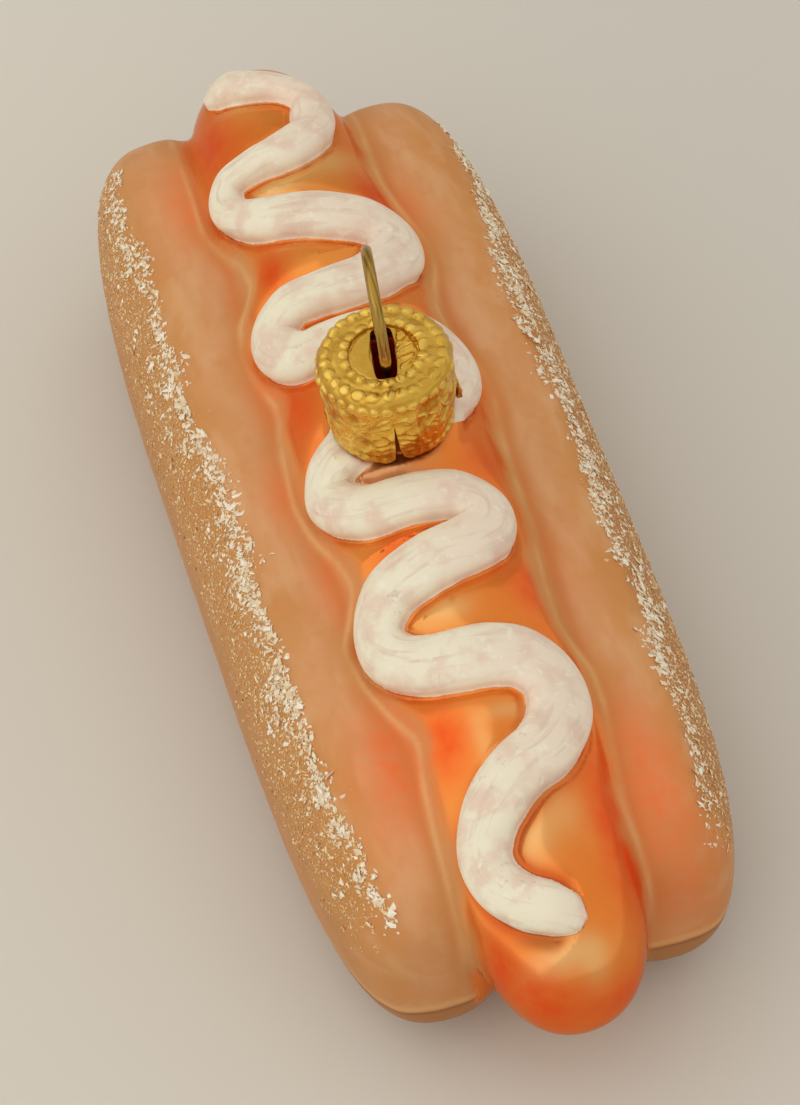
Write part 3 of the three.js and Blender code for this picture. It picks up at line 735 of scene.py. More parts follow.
def crown_cap():
    h, top = CAP["height"], CAP["top"]
    # outer profile (r, z), from the recess round the rim and down the skirt
    recess = 3.1
    floor = h - 0.75
    line = [(recess, floor), (recess + 0.1, floor + 0.12), (recess + 0.14, floor + 0.4), (recess + 0.3, h - 0.4),
            (4.15, h - 0.33), (4.55, h - 0.42), (5.0, h - 0.38), (5.5, h - 0.42), (5.85, h - 0.66), (6.02, h - 1.0),
            (6.05, h - 1.45), (6.0, h - 1.9), (5.98, 6.4), (5.95, 5.0), (5.85, 3.6), (5.65, 2.2), (5.45, 1.0), (5.36, 0.32), (5.4, 0.0)]
    line = even(np.array(line), 0.1)
    k = np.array([1, 2, 3, 2, 1.0])
    k /= k.sum()
    for c in (0, 1):
        line[2:-2, c] = np.convolve(line[:, c], k, "valid")
    s = np.r_[0, np.cumsum(np.linalg.norm(np.diff(line, axis=0), axis=1))]
    C = CAP_COLUMNS
    theta = np.arange(C) * 2 * np.pi / C - np.pi / 2      # column 0 is at the front slit
    R = len(line)
    TH = np.tile(theta, (R, 1))
    S = np.tile(s[:, None], (1, C))
    r0, z0 = line[:, 0][:, None], line[:, 1][:, None]
    # the skirt is four petals: across is -1..1 over a petal, down is mm below the rim
    quarter = (np.arange(C) % (C // 4)) / (C // 4)
    across = np.tile(2 * quarter - 1, (R, 1))
    z = np.tile(z0, (1, C))
    skirt = z0 < 5.2
    depth = np.clip((5.2 - z0) / 5.2, 0, 1)
    gap = 0.03 + 0.3 * depth                             # half the slit, mm
    gap = np.where(skirt, gap, 0)
    half = (np.pi / 4) * r0
    near_foot = ramp(1.1 - z0, 0, 1.1)
    corner = near_foot * 0.85
    scale = np.clip((half - gap) / half, 0.3, 1)
    a_in = np.sign(across) * np.abs(across)
    pos = a_in * scale * (1 - 0.0 * corner)
    petal = np.floor(np.arange(C) / (C // 4))
    centre = -np.pi / 2 + (petal + 0.5) * np.pi / 2
    TH = np.where(skirt, centre[None, :] + pos * np.pi / 4, TH)
    # rounded lower corners
    x_mm = pos * half
    edge = half * scale
    drop = np.clip((np.abs(x_mm) - (edge - 1.3)) / 1.3, 0, 1)
    lift = 0.9 * (1 - np.sqrt(np.maximum(0, 1 - drop**2))) * ramp(2.2 - z0, 0, 2.2)
    z = z + lift
    # relief
    rng = np.random.default_rng(5)
    rough = np.stack([np.cos(TH) * r0, np.sin(TH) * r0, np.tile(z0, (1, C))], -1)
    arc = lambda r: (lambda i: s[i])(int(np.argmin(np.hypot(line[:, 0] - r[0], line[:, 1] - r[1]))))
    s_in, s_out, s_low = arc((3.62, h - 0.36)), arc((5.35, h - 0.4)), arc((6.05, h - 1.75))
    # the beads are worn and uneven, and nearly flat on the right
    warp = 0.09 * noise(rough, 1.6, 21) + 0.05 * noise(rough, 0.8, 22)
    worn = 0.75 + 0.35 * noise(rough, 1.3, 23)
    right = ramp(np.cos(TH + 0.35), 0.1, 0.8)
    H = worn * pearls(TH + 0.5 * warp, S + warp, 19, s_in, 0.5, 0.27, 0.1, 3.6)
    H = np.maximum(H, worn * (1 - 0.62 * right) * pearls(TH + 0.4 * warp, S - warp, 26, s_out, 0.58, 0.3, 0.05, 5.4))
    H = np.maximum(H, worn * (1 - 0.4 * right) * pearls(TH - 0.4 * warp, S + warp, 33, s_low, 0.5, 0.32, 0.0, 6.0))
    H = H + 0.07 * bump(S, (s_in + s_out) / 2, 0.2) * (0.7 + 0.5 * noise(rough, 1.5, 4))
    below = S - arc((6.0, 7.0))
    on = ramp(below, -0.2, 0.4)
    end = s[-1] - arc((6.0, 7.0))
    for i in range(4):
        m = petal == i
        u = (across[:, m] * np.minimum(1, scale)) * (np.pi / 4) * 5.8
        v = below[:, m]
        j = lambda a: a * rng.normal()
        P = np.zeros_like(u)
        tall = 0.22
        # middle vein and leaf outline
        P = np.maximum(P, stroke(u, v, j(0.1), 0.6, j(0.15), end - 1.3, 0.3, tall))
        for side in (-1, 1):
            P = np.maximum(P, stroke(u, v, 0.0, end - 1.0, side * 1.5, 2.9, 0.27, tall, -side * 0.5))
            P = np.maximum(P, stroke(u, v, side * 1.5, 2.9, 0.0, 0.5, 0.25, tall * 0.9, -side * 0.35))
            for kx in range(4):
                y0 = 1.5 + kx * 1.05
                P = np.maximum(P, stroke(u, v, side * 0.15, y0 + 0.75 + j(0.08), side * (1.2 - 0.12 * kx), y0 + j(0.08), 0.17, tall * 0.75))
            # rope of short hatches beside the slit
            for kx in range(6):
                y0 = 0.9 + kx * 0.92 + j(0.1)
                x0 = side * 3.85
                P = np.maximum(P, stroke(u, v, x0 - side * (1.0 + j(0.25)), y0 + 0.5 + j(0.12), x0 + side * 0.3, y0 - 0.15 + j(0.12), 0.24, 0.13 + j(0.04), side * j(0.15)))
            P = np.maximum(P, stroke(u, v, side * 2.65, 0.7, side * 2.45, end - 0.7, 0.13, 0.1, side * 0.12))
            # curl between leaf and rope
            P = np.maximum(P, stroke(u, v, side * 2.2, 1.1, side * 1.6, 1.9, 0.26, 0.2, side * 0.25))
            P = np.maximum(P, stroke(u, v, side * 2.1, end - 2.6, side * 1.35, end - 1.5, 0.28, 0.22, -side * 0.25))
        # beads along the lower edge
        low = end - 0.42 - lift[:, m].max() * 0.0
        for kx in range(8):
            x0 = -3.15 + kx * 0.9
            P = np.maximum(P, (0.2 + j(0.03)) * np.exp(-(np.hypot(u - x0 - j(0.06), v - low - j(0.05)) / 0.36) ** 2 * 1.2))
        H[:, m] += P * on[:, m] * (0.75 + 0.45 * noise(rough[:, m], 1.7, 24))
    H = H + 0.07 * noise(rough, 1.1, 8) + 0.03 * noise(rough, 0.5, 9)
    creased = 0.2 * np.abs(noise(rough, 1.5, 61)) + 0.12 * np.abs(noise(rough @ turn_z(40), 0.8, 62))
    H = H + creased * ramp(z0, 8.6, 7.6) - 0.35 * creased * ramp(z0, 7.6, 8.6)
    # petals press in and flare out unevenly
    flare = np.array([0.0, 0.8, 0.75, 0.3])[petal.astype(int)]
    low_mask = ramp(5.0 - z0, 0, 5.0)
    sway = flare[None, :] * low_mask * (0.35 + 0.65 * np.abs(across) ** 1.5)
    sway = sway * np.where((petal == 1)[None, :], 0.1 + 1.2 * ramp(-across, 0.2, 0.95), 1)
    sway = sway * np.where((petal == 2)[None, :], 0.2 + 0.8 * ramp(across, 0.1, 0.95), 1)
    out = 0.07 * noise(rough * np.array([1, 1, 0.6]), 3.0, 14) + sway
    # normals of the profile
    t = np.gradient(line, axis=0)
    t /= np.linalg.norm(t, axis=1, keepdims=True)
    nr, nz = -t[:, 1][:, None], t[:, 0][:, None]
    flip = np.where(nr.mean() < 0, -1, 1)
    nr, nz = -nr, -nz
    nr, nz = (nr, nz) if (nz[len(nz) // 4, 0] > 0) else (-nr, -nz)
    def shell(height, inward):
        r = r0 + nr * (height - inward) + out
        zz = z + nz * (height - inward)
        return np.stack([r * np.cos(TH), r * np.sin(TH), zz], -1)
    outer = shell(H, 0.0)
    outer[..., 2] = np.minimum(outer[..., 2], h + 0.02)
    inner = shell(0.35 * H, 0.34)
    # the recess disc, from the slot out to the recess wall
    a, b = CAP["slot_width"] / 2, 3.02
    e = 7.0
    c0, s0 = np.cos(theta), np.sin(theta)
    rs = (np.abs(c0 / a) ** e + np.abs(s0 / b) ** e) ** (-1 / e)
    n_disc = 22
    rows = []
    first_xy = np.stack([line[0, 0] * c0, line[0, 0] * s0], -1)
    slot_xy = np.stack([rs * c0, rs * s0], -1)
    for i in range(n_disc):
        f = i / n_disc
        xy = slot_xy * (1 - f) + first_xy * f
        g3 = np.column_stack([xy, np.zeros(C)])
        zz = np.full(C, floor + 0.12)
        right = ramp(xy[:, 0], 1.2, 1.5)
        crumple = np.abs(noise(g3, 1.5, 51)) * 0.6 + 0.1 * np.abs(noise(g3 @ turn_z(33), 0.7, 52))
        facets = np.maximum.reduce([stroke(xy[:, 0], xy[:, 1], 1.3, yy, 2.9, yy + dy, 0.34, 0.3) for yy, dy in
                                    ((-2.0, 0.9), (-1.0, 0.3), (-0.1, 0.5), (0.9, -0.2), (1.7, 0.5), (0.2, 1.6))])
        zz = zz + right * (0.6 * crumple + facets - 0.12) * ramp(2.95 - np.hypot(xy[:, 0], xy[:, 1]), 0, 0.3)
        left = 1 - right
        zz = zz + left * (0.03 * noise(g3, 2.4, 53) - 0.05 * ramp(-xy[:, 0], 2.1, 2.9))
        zz = zz - 0.22 * (1 - ramp(np.full(C, f), 0.0, 0.12))     # the slot's edge is pressed down
        rows.append(np.column_stack([xy, zz]))
    disc = np.stack(rows)
    disc_in = disc.copy()
    disc_in[..., 2] -= 0.34
    disc_in[..., :2] *= 1.0
    front = np.concatenate([disc, outer], 0)
    step = 6
    back_rows = np.concatenate([disc_in, inner], 0)
    n_front = len(front)
    keep = np.unique(np.r_[0, np.arange(0, n_front, step), n_front - 1])
    # rows where the slit starts must be kept on both sides
    start = n_disc + int(np.argmax(skirt[:, 0]))
    keep = np.unique(np.r_[keep, start - 1, start])
    back = back_rows[keep]
    # the first column of each petal is doubled, so that every petal has both its edges
    q4 = C // 4
    cols = []
    for i in range(4):
        cols += list(range(i * q4, (i + 1) * q4)) + [((i + 1) * q4) % C]
    W = len(cols)
    def widen(grid, rows_index):
        out_grid = grid[:, cols].copy()
        for i in range(4):
            last = (i + 1) * (q4 + 1) - 1
            for k_row, r_i in enumerate(rows_index):
                pr = r_i - n_disc
                if pr >= 0 and skirt[pr, 0]:
                    # mirror of the petal's first edge about its middle
                    first = out_grid[k_row, i * (q4 + 1)]
                    mid = -np.pi / 2 + (i + 0.5) * np.pi / 2
                    prev = out_grid[k_row, last - 1]
                    rr = math.hypot(prev[0], prev[1])
                    ang = mid + (mid - math.atan2(first[1], first[0]))
                    out_grid[k_row, last] = (rr * math.cos(ang), rr * math.sin(ang), prev[2])
        return out_grid
    fg = widen(front, list(range(n_front)))
    bg = widen(back, list(keep))
    verts = [fg.reshape(-1, 3), bg.reshape(-1, 3)]
    off = fg.shape[0] * W
    faces = []
    nf_, nb_ = fg.shape[0], bg.shape[0]
    for i in range(4):
        c0_ = i * (q4 + 1)
        c = np.arange(c0_, c0_ + q4)
        for r_ in range(nf_ - 1):
            k0, k1 = r_ * W + c, (r_ + 1) * W + c
            faces.append(np.column_stack([k0, k1, k1 + 1, k0 + 1]))
        for r_ in range(nb_ - 1):
            k0, k1 = off + r_ * W + c, off + (r_ + 1) * W + c
            faces.append(np.column_stack([k0, k0 + 1, k1 + 1, k1]))
        # foot edge and slot edge
        k0, k1 = (nf_ - 1) * W + c, off + (nb_ - 1) * W + c
        faces.append(np.column_stack([k0, k1, k1 + 1, k0 + 1]))
        k0, k1 = c, off + c
        faces.append(np.column_stack([k0 + 1, k1 + 1, k1, k0]))
    # slit edges: strips between front and back along each petal side
    ks = list(keep)
    tri_faces = []
    for i in range(4):
        for col, rev in ((i * (q4 + 1), False), ((i + 1) * (q4 + 1) - 1, True)):
            for b0 in range(len(ks) - 1):
                if ks[b0] < start - 1:
                    continue
                r_a, r_b = ks[b0], ks[b0 + 1]
                B0, B1 = off + b0 * W + col, off + (b0 + 1) * W + col
                strip = [r * W + col for r in range(r_a, r_b + 1)]
                mid_i = len(strip) // 2
                for x0 in range(len(strip) - 1):
                    anchor = B0 if x0 < mid_i else B1
                    t3 = [strip[x0], strip[x0 + 1], anchor]
                    tri_faces.append(t3[::-1] if rev else t3)
                t3 = [strip[mid_i], B1, B0]
                tri_faces.append(t3[::-1] if rev else t3)
    verts = np.vstack(verts)
    quads = np.vstack(faces)
    tris = np.vstack([quads[:, [0, 1, 2]], quads[:, [0, 2, 3]], np.array(tri_faces)])
    relief = np.concatenate([np.zeros((n_disc, C)), H], 0)[:, cols].ravel()
    relief = np.r_[relief, np.full(nb_ * W, -0.2)]
    ob = mesh_object("crown_cap_embossed", from_cap(verts), tris)
    put(ob, "relief", relief)
    # joins the doubled columns where there is no slit
    import bmesh
    bm = bmesh.new()
    bm.from_mesh(ob.data)
    bmesh.ops.remove_doubles(bm, verts=bm.verts, dist=0.0004 * MM)
    bmesh.ops.dissolve_degenerate(bm, edges=bm.edges, dist=0.0002 * MM)
    bmesh.ops.recalc_face_normals(bm, faces=bm.faces)
    bm.to_mesh(ob.data)
    bm.free()
    ob.data.update()
    return ob


# ---------------------------------------------------------------- wire
def hanger_wire():
    h, R, H, s, D, f = CAP["height"], WIRE["loop"], WIRE["loop_height"], WIRE["spread"], WIRE["depth"], WIRE["foot"]
    side = [(f + 0.05, h - D), (f - 0.05, h - D * 0.62), (s, h - 1.2), (s - 0.1, h + 0.4), (s + 0.25, h + 1.6)]
    pts = [(0, -y, z) for y, z in side]
    for i in range(13):
        a = math.radians(-42 + 264 * i / 12)
        pts.append((0, -R * math.cos(a), h + H + R * math.sin(a)))
    pts += [(0, y, z) for y, z in side[::-1]]
    line = catmull(pts, 0.22)
    t = unit(np.gradient(line, axis=0))
    across = np.tile(np.array([1.0, 0, 0]), (len(line), 1))
    up = np.cross(t, across)
    n = 28
    th = np.arange(n) * 2 * np.pi / n
    rr = np.full(len(line), WIRE["radius"] - 0.005)
    d = np.r_[0, np.cumsum(np.linalg.norm(np.diff(line, axis=0), axis=1))]
    for end in (d, d[-1] - d):      # the cut ends are rounded over
        rr = rr * np.where(end < 0.3, np.sqrt(np.maximum(0.02, 1 - (1 - end / 0.3) ** 2 * 0.75)), 1)
    ring = (line[:, None] + rr[:, None, None] * (np.cos(th)[None, :, None] * across[:, None] + np.sin(th)[None, :, None] * up[:, None]))
    ring = ring * 1.0
    m = len(line)
    verts = np.vstack([ring.reshape(-1, 3), line[:1], line[-1:]])
    faces = []
    i = np.arange(n)
    j = (i + 1) % n
    for k in range(m - 1):
        a, b = k * n, (k + 1) * n
        faces += [np.column_stack([a + i, b + j, b + i]), np.column_stack([a + i, a + j, b + j])]
    faces.append(np.column_stack([j, i, np.full(n, m * n)]))
    faces.append(np.column_stack([(m - 1) * n + i, (m - 1) * n + j, np.full(n, m * n + 1)]))
    ob = mesh_object("hanging_wire_loop", from_cap(verts @ turn_z(WIRE["turn"]).T), np.vstack(faces))
    put(ob, "run", np.r_[np.repeat(d, n), 0, d[-1]])
    import bmesh
    bm = bmesh.new()
    bm.from_mesh(ob.data)
    bmesh.ops.recalc_face_normals(bm, faces=bm.faces)
    bm.to_mesh(ob.data)
    bm.free()
    return ob


# ---------------------------------------------------------------- materials
def srgb(r, g, b):
    f = lambda c: c / 12.92 if c <= 0.04045 else ((c + 0.055) / 1.055) ** 2.4
    return (f(r / 255), f(g / 255), f(b / 255), 1.0)


class Paint:
    """A material's nodes, made by short calls."""

    def __init__(self, name):
        self.mat = bpy.data.materials.new(name)
        self.mat.use_nodes = True
        self.tree = self.mat.node_tree
        self.tree.nodes.clear()
        self.out = self.tree.nodes.new("ShaderNodeOutputMaterial")
        self.bsdf = self.tree.nodes.new("ShaderNodeBsdfPrincipled")
        self.tree.links.new(self.bsdf.outputs[0], self.out.inputs[0])
        co = self.tree.nodes.new("ShaderNodeTexCoord")
        self.mm = self.vector("SCALE", co.outputs["Object"], 1000.0)

    def link(self, value, socket):
        if isinstance(value, bpy.types.NodeSocket):
            self.tree.links.new(value, socket)
        elif value is not None:
            socket.default_value = value

    def vector(self, op, a, b=None):
        n = self.tree.nodes.new("ShaderNodeVectorMath")
        n.operation = op
        self.link(a, n.inputs[0])
        self.link(b, n.inputs["Scale"] if op == "SCALE" else n.inputs[1])
        return n.outputs[0]

    def math(self, op, a, b=None, clamp=False):
        n = self.tree.nodes.new("ShaderNodeMath")
        n.operation = op
        n.use_clamp = clamp
        self.link(a, n.inputs[0])
        self.link(b, n.inputs[1])
        return n.outputs[0]

    def add(self, a, b):
        return self.math("ADD", a, b)

    def mul(self, a, b):
        return self.math("MULTIPLY", a, b)

    def attr(self, name):
        n = self.tree.nodes.new("ShaderNodeAttribute")
        n.attribute_name = name
        return n.outputs["Fac"]

    def noise(self, size, detail=2.0, at=None, distortion=0.0, rough=0.5):
        n = self.tree.nodes.new("ShaderNodeTexNoise")
        self.link(at if at is not None else self.mm, n.inputs["Vector"])
        n.inputs["Scale"].default_value = 1.0 / size
        n.inputs["Detail"].default_value = detail
        n.inputs["Roughness"].default_value = rough
        n.inputs["Distortion"].default_value = distortion
        return n.outputs["Fac"]

    def cells(self, size, feature="F1", at=None, output="Distance"):
        n = self.tree.nodes.new("ShaderNodeTexVoronoi")
        n.feature = feature
        self.link(at if at is not None else self.mm, n.inputs["Vector"])
        n.inputs["Scale"].default_value = 1.0 / size
        return n.outputs[output]

    def ramp(self, value, lo, hi, a=0.0, b=1.0):
        n = self.tree.nodes.new("ShaderNodeMapRange")
        n.interpolation_type = "SMOOTHSTEP"
        self.link(value, n.inputs["Value"])
        n.inputs["From Min"].default_value = lo
        n.inputs["From Max"].default_value = hi
        n.inputs["To Min"].default_value = a
        n.inputs["To Max"].default_value = b
        return n.outputs[0]

    def bump_at(self, value, centre, width):
        """A soft hill over one value of an attribute."""
        d = self.mul(self.add(value, -centre), 1.0 / width)
        d = self.mul(d, d)
        return self.math("POWER", 2.718, self.mul(d, -1.0))

    def mix(self, f, a, b):
        n = self.tree.nodes.new("ShaderNodeMix")
        n.data_type = "RGBA"
        self.link(f, n.inputs[0])
        self.link(a, n.inputs[6])
        self.link(b, n.inputs[7])
        return n.outputs[2]

    def mixf(self, f, a, b):
        n = self.tree.nodes.new("ShaderNodeMix")
        n.data_type = "FLOAT"
        self.link(f, n.inputs[0])
        self.link(a, n.inputs[2])
        self.link(b, n.inputs[3])
        return n.outputs[0]

    def separate(self, v):
        n = self.tree.nodes.new("ShaderNodeSeparateXYZ")
        self.link(v, n.inputs[0])
        return n.outputs

    def combine(self, x, y, z):
        n = self.tree.nodes.new("ShaderNodeCombineXYZ")
        for k, v in enumerate((x, y, z)):
            self.link(v, n.inputs[k])
        return n.outputs[0]

    def bump(self, height, distance, strength=1.0, normal=None):
        n = self.tree.nodes.new("ShaderNodeBump")
        n.inputs["Distance"].default_value = distance * MM
        n.inputs["Strength"].default_value = strength
        self.link(height, n.inputs["Height"])
        if normal is not None:
            self.link(normal, n.inputs["Normal"])
        return n.outputs[0]

    def set(self, **kw):
        for k, v in kw.items():
            self.link(v, self.bsdf.inputs[k.replace("_", " ")])
        return self.mat


def painted_glass():
    m = Paint("painted_glass")
    lip_at, edge, along, across = m.attr("lip"), m.attr("edge"), m.attr("along"), m.attr("across")
    crease, angle, glit, blush = m.attr("crease"), m.attr("angle"), m.attr("glitter"), m.attr("blush")
    bore, fold, end, beside = m.attr("bore"), m.attr("fold"), m.attr("end"), m.attr("beside")
    x, y, z = m.separate(m.mm)
    broad, mid, fine = m.noise(7.0, 2), m.noise(1.6, 3), m.noise(0.35, 3)
    grain = m.noise(0.09, 2)

    # sausage: orange lacquer over silvering, with deeper patches, and paler gold patches that are painted highlights
    deep, pale = m.attr("deep"), m.attr("pale")
    patches = m.noise(9.0, 2)
    sausage = m.mix(m.ramp(patches, 0.35, 0.65), srgb(246, 152, 66), srgb(243, 134, 50))
    sausage = m.mix(m.mul(m.ramp(m.math("ABSOLUTE", m.add(x, m.mul(broad, 1.5))), 4.5, 8.5), 0.5), sausage, srgb(243, 124, 50))
    # painted highlight: pale gold patches where reflections would fall
    sausage = m.mix(m.mul(pale, m.ramp(broad, 0.3, 0.6, 0.6, 0.95)), sausage, srgb(244, 198, 126))
    sausage = m.mix(m.mul(deep, m.ramp(mid, 0.25, 0.7, 0.75, 1.0)), sausage, srgb(244, 85, 17))

    # bun: pearly tan, with a paler pink painted sheen on its shoulders, and coral spray at the lips
    bun = m.mix(m.ramp(m.add(x, m.mul(m.add(broad, -0.5), 10.0)), -8.0, 8.0), srgb(213, 149, 89), srgb(216, 148, 82))
    bun = m.mix(m.ramp(m.noise(5.0, 3), 0.4, 0.66, 0.0, 0.5), bun, srgb(210, 138, 74))
    # painted highlight: a pale pink sheen along the shoulders of the bun
    painted_shoulder_sheen = m.mul(m.bump_at(m.add(lip_at, m.mul(broad, 2.4)), 4.9, 2.2), m.ramp(mid, 0.2, 0.6, 0.25, 0.65))
    bun = m.mix(painted_shoulder_sheen, bun, srgb(226, 164, 116))
    wisps = m.noise(3.2, 3, at=m.combine(m.mul(x, 1.0), m.mul(y, 0.4), z), distortion=0.3)
    bun = m.mix(m.mul(m.ramp(wisps, 0.42, 0.7, 0.0, 0.5), m.ramp(lip_at, 0.4, 2.4)), bun, srgb(232, 180, 132))
    bun = m.mix(m.mul(m.mul(blush, m.mixf(m.ramp(end, 0.2, 0.9), m.ramp(glit, 9.0, -5.0, 0.3, 1.0), 0.8)), m.ramp(mid, 0.25, 0.7, 0.6, 0.95)), bun, srgb(248, 121, 61))
    valley = m.mul(m.bump_at(crease, 0.0, 1.1), m.ramp(lip_at, 0.2, 1.0))
    bun = m.mix(m.mul(valley, 0.6), bun, srgb(212, 112, 48))
    # painted highlight: a light line along the crest of the lip, on its upper parts
    painted_lip_highlight = m.mul(m.bump_at(m.add(lip_at, m.mul(m.add(fine, -0.5), 0.35)), 0.02, 0.32), m.ramp(z, 14.0, 19.0))
    bun = m.mix(m.mul(painted_lip_highlight, m.ramp(broad, 0.35, 0.6, 0.05, 0.5)), bun, srgb(238, 184, 124))
    # the band that holds the glitter is yellower and speckled, and darker on the right lobe as painted shade
    band = m.mul(m.ramp(m.add(glit, m.mul(m.add(mid, -0.5), 14.0)), -7.0, 9.0), m.mul(m.ramp(glit, 40, 72, 1.0, 0.0), m.ramp(end, 0.0, 0.8, 1.0, 0.0)))
    specks = m.ramp(m.noise(0.2, 1.5, distortion=0.6), 0.5, 0.62)
    # painted shade: the band is darker on the right lobe than on the left
    bun = m.mix(m.mul(band, 0.7), bun, m.mix(m.ramp(x, -4, 4), srgb(192, 132, 66), srgb(172, 110, 56)))
    bun = m.mix(m.mul(band, m.mul(specks, 0.4)), bun, srgb(236, 196, 136))
    # painted shade: darker on the outer sides of the lobes, low down, and over their rounded ends
    side = m.mixf(end, m.mul(m.ramp(angle, 34, 6), 0.5), 0.3)
    bun = m.mix(side, bun, srgb(186, 126, 70))
    # underside: browner, with a fine pale line where it starts
    level = m.add(z, m.mul(m.add(broad, -0.5), 1.2))
    under = m.ramp(level, 8.5, 8.1)
    bun = m.mix(m.mul(m.bump_at(level, 9.0, 0.45), 0.5), bun, srgb(228, 178, 118))
    bun = m.mix(under, bun, srgb(172, 114, 60))
    bun = m.mix(m.mul(m.bump_at(level, 8.2, 0.25), 0.7), bun, srgb(140, 84, 38))

    # where the sausage's orange gives way to the bun
    shift = m.add(lip_at, m.mul(m.add(m.noise(7.0, 2), -0.5), 3.4))
    on_bun = m.ramp(shift, -1.9, -0.2)
    # below, the bun closes under the sausage
    closed = m.mul(m.ramp(z, 7.6, 6.8), m.ramp(m.math("ABSOLUTE", m.add(y, m.mul(m.add(broad, -0.5), 2.0))), 51.0, 49.6))
    on_bun = m.math("MAXIMUM", on_bun, closed)
    body = m.mix(on_bun, sausage, bun)
    # painted shade: a dark orange-red line in the groove round the sauce, widened into a band towards the near end
    line = m.mul(m.bump_at(m.add(edge, m.mul(m.add(fine, -0.5), 0.3)), 0.3, 0.36), m.ramp(m.noise(3.0, 2), 0.35, 0.6, 0.1, 0.5))
    near_end = m.ramp(y, -38.0, -46.0)
    wide = m.mul(m.bump_at(edge, 0.35, 0.8), m.mul(near_end, 0.85))
    line = m.mul(m.math("MAXIMUM", line, wide), beside)
    body = m.mix(m.mul(line, m.ramp(on_bun, 0.0, 1.0, 1.0, 0.3)), body, srgb(206, 84, 24))
    # an olive shadow in the lacquer under the end of the sauce
    olive = m.mul(m.bump_at(m.add(edge, m.mul(m.add(mid, -0.5), 0.5)), 0.7, 0.75), m.mul(m.mul(m.ramp(y, -52.5, -54.5), m.ramp(x, 4.0, 1.0)), m.ramp(beside, 0.0, 0.5)))
    body = m.mix(m.mul(olive, 0.8), body, srgb(176, 98, 38))
    # the fold in front of the collar is bare of orange
    body = m.mix(m.mul(fold, 0.9), body, srgb(222, 160, 112))

    # sauce: cream paint, thinner and pinker in places, brushed along the bead
    own = m.attr("own")
    strokes = m.noise(1.0, 4.0, at=m.combine(m.mul(along, 0.2), m.mul(across, 1.3), 0.0), distortion=0.5)
    # painted shade: the sauce is a little pinker and darker towards its right side
    shade_side = m.add(x, m.mul(m.add(broad, -0.5), 6.0))
    cream = m.mix(m.ramp(shade_side, -4.0, 4.0), srgb(246, 238, 212), srgb(246, 228, 206))
    cream = m.mix(m.ramp(m.noise(3.0, 3), 0.44, 0.66, 0.0, 0.75), cream, srgb(236, 206, 184))
    cream = m.mix(m.ramp(strokes, 0.5, 0.72, 0.0, 0.6), cream, srgb(224, 196, 176))
    smudge = m.mul(m.ramp(m.noise(0.8, 4, distortion=1.0), 0.6, 0.72), m.ramp(m.noise(6.0, 2), 0.5, 0.66, 0.0, 0.6))
    cream = m.mix(smudge, cream, srgb(206, 184, 168))
    cream = m.mix(m.ramp(m.noise(1.1, 3, distortion=0.4), 0.56, 0.74, 0.0, 0.6), cream, srgb(252, 246, 226))
    painted = m.ramp(m.add(own, m.add(m.mul(m.add(m.noise(2.6, 2), -0.5), 0.35), m.mul(m.add(fine, -0.5), 0.12))), 0.16, 0.0)
    body = m.mix(painted, body, cream)
    # the neck inside the cap: maroon in its mouth, and outside a darker orange-brown that is painted shade under the
    # cap
    body = m.mix(m.attr("neck"), body, srgb(176, 96, 44))
    body = m.mix(bore, body, srgb(224, 36, 28))

    metal = m.mixf(on_bun, 0.72, 0.12)
    metal = m.mixf(m.mul(fold, 0.8), metal, 0.45)
    metal = m.mixf(m.math("MAXIMUM", painted, m.mul(under, on_bun)), metal, 0.0)
    metal = m.mixf(bore, metal, 0.0)
    rough = m.mixf(on_bun, 0.18, 0.48)
    rough = m.mixf(m.mul(fold, 0.8), rough, 0.24)
    rough = m.mixf(painted, rough, 0.5)
    rough = m.add(rough, m.mul(m.add(mid, -0.5), 0.12))
    coat = m.mixf(on_bun, 0.2, 0.1)
    coat = m.mixf(painted, coat, 0.05)
    tall = m.add(m.mul(m.mul(specks, band), 1.0), m.add(m.mul(grain, 0.12), m.mul(m.mul(strokes, painted), 0.9)))
    normal = m.bump(tall, 0.05, 0.5)
    m.set(Base_Color=body, Metallic=metal, Roughness=rough, Coat_Weight=coat, Normal=normal)
    m.bsdf.inputs["Coat Roughness"].default_value = 0.2
    m.bsdf.inputs["IOR"].default_value = 1.5
    m.bsdf.inputs["Specular IOR Level"].default_value = 0.35
    m.bsdf.inputs["Specular Tint"].default_value = (0.80, 0.52, 0.36, 1)
    return m.mat


def gold_leaf():
    m = Paint("gold_cap")
    relief = m.attr("relief")
    mid, fine = m.noise(1.4, 3), m.noise(0.3, 3)
    # painted highlight and shade: the embossing is lighter on its raised parts and darker in its hollows
    c = m.mix(m.ramp(m.add(relief, m.mul(m.add(mid, -0.5), 0.2)), -0.04, 0.22), srgb(200, 144, 42), srgb(246, 206, 98))
    c = m.mix(m.ramp(mid, 0.4, 0.7, 0.0, 0.4), c, srgb(226, 178, 70))
    # the flat top is painted brighter than the skirt, a painted highlight
    c = m.mix(m.mul(m.ramp(m.separate(m.mm)[2], 38.0, 39.4), 0.3), c, srgb(250, 212, 104))
    rough = m.add(m.mul(fine, 0.12), m.mul(mid, 0.12))
    m.set(Base_Color=c, Metallic=1.0, Roughness=m.add(rough, 0.16), Normal=m.bump(m.add(fine, m.mul(mid, 0.6)), 0.02, 0.4))
    return m.mat


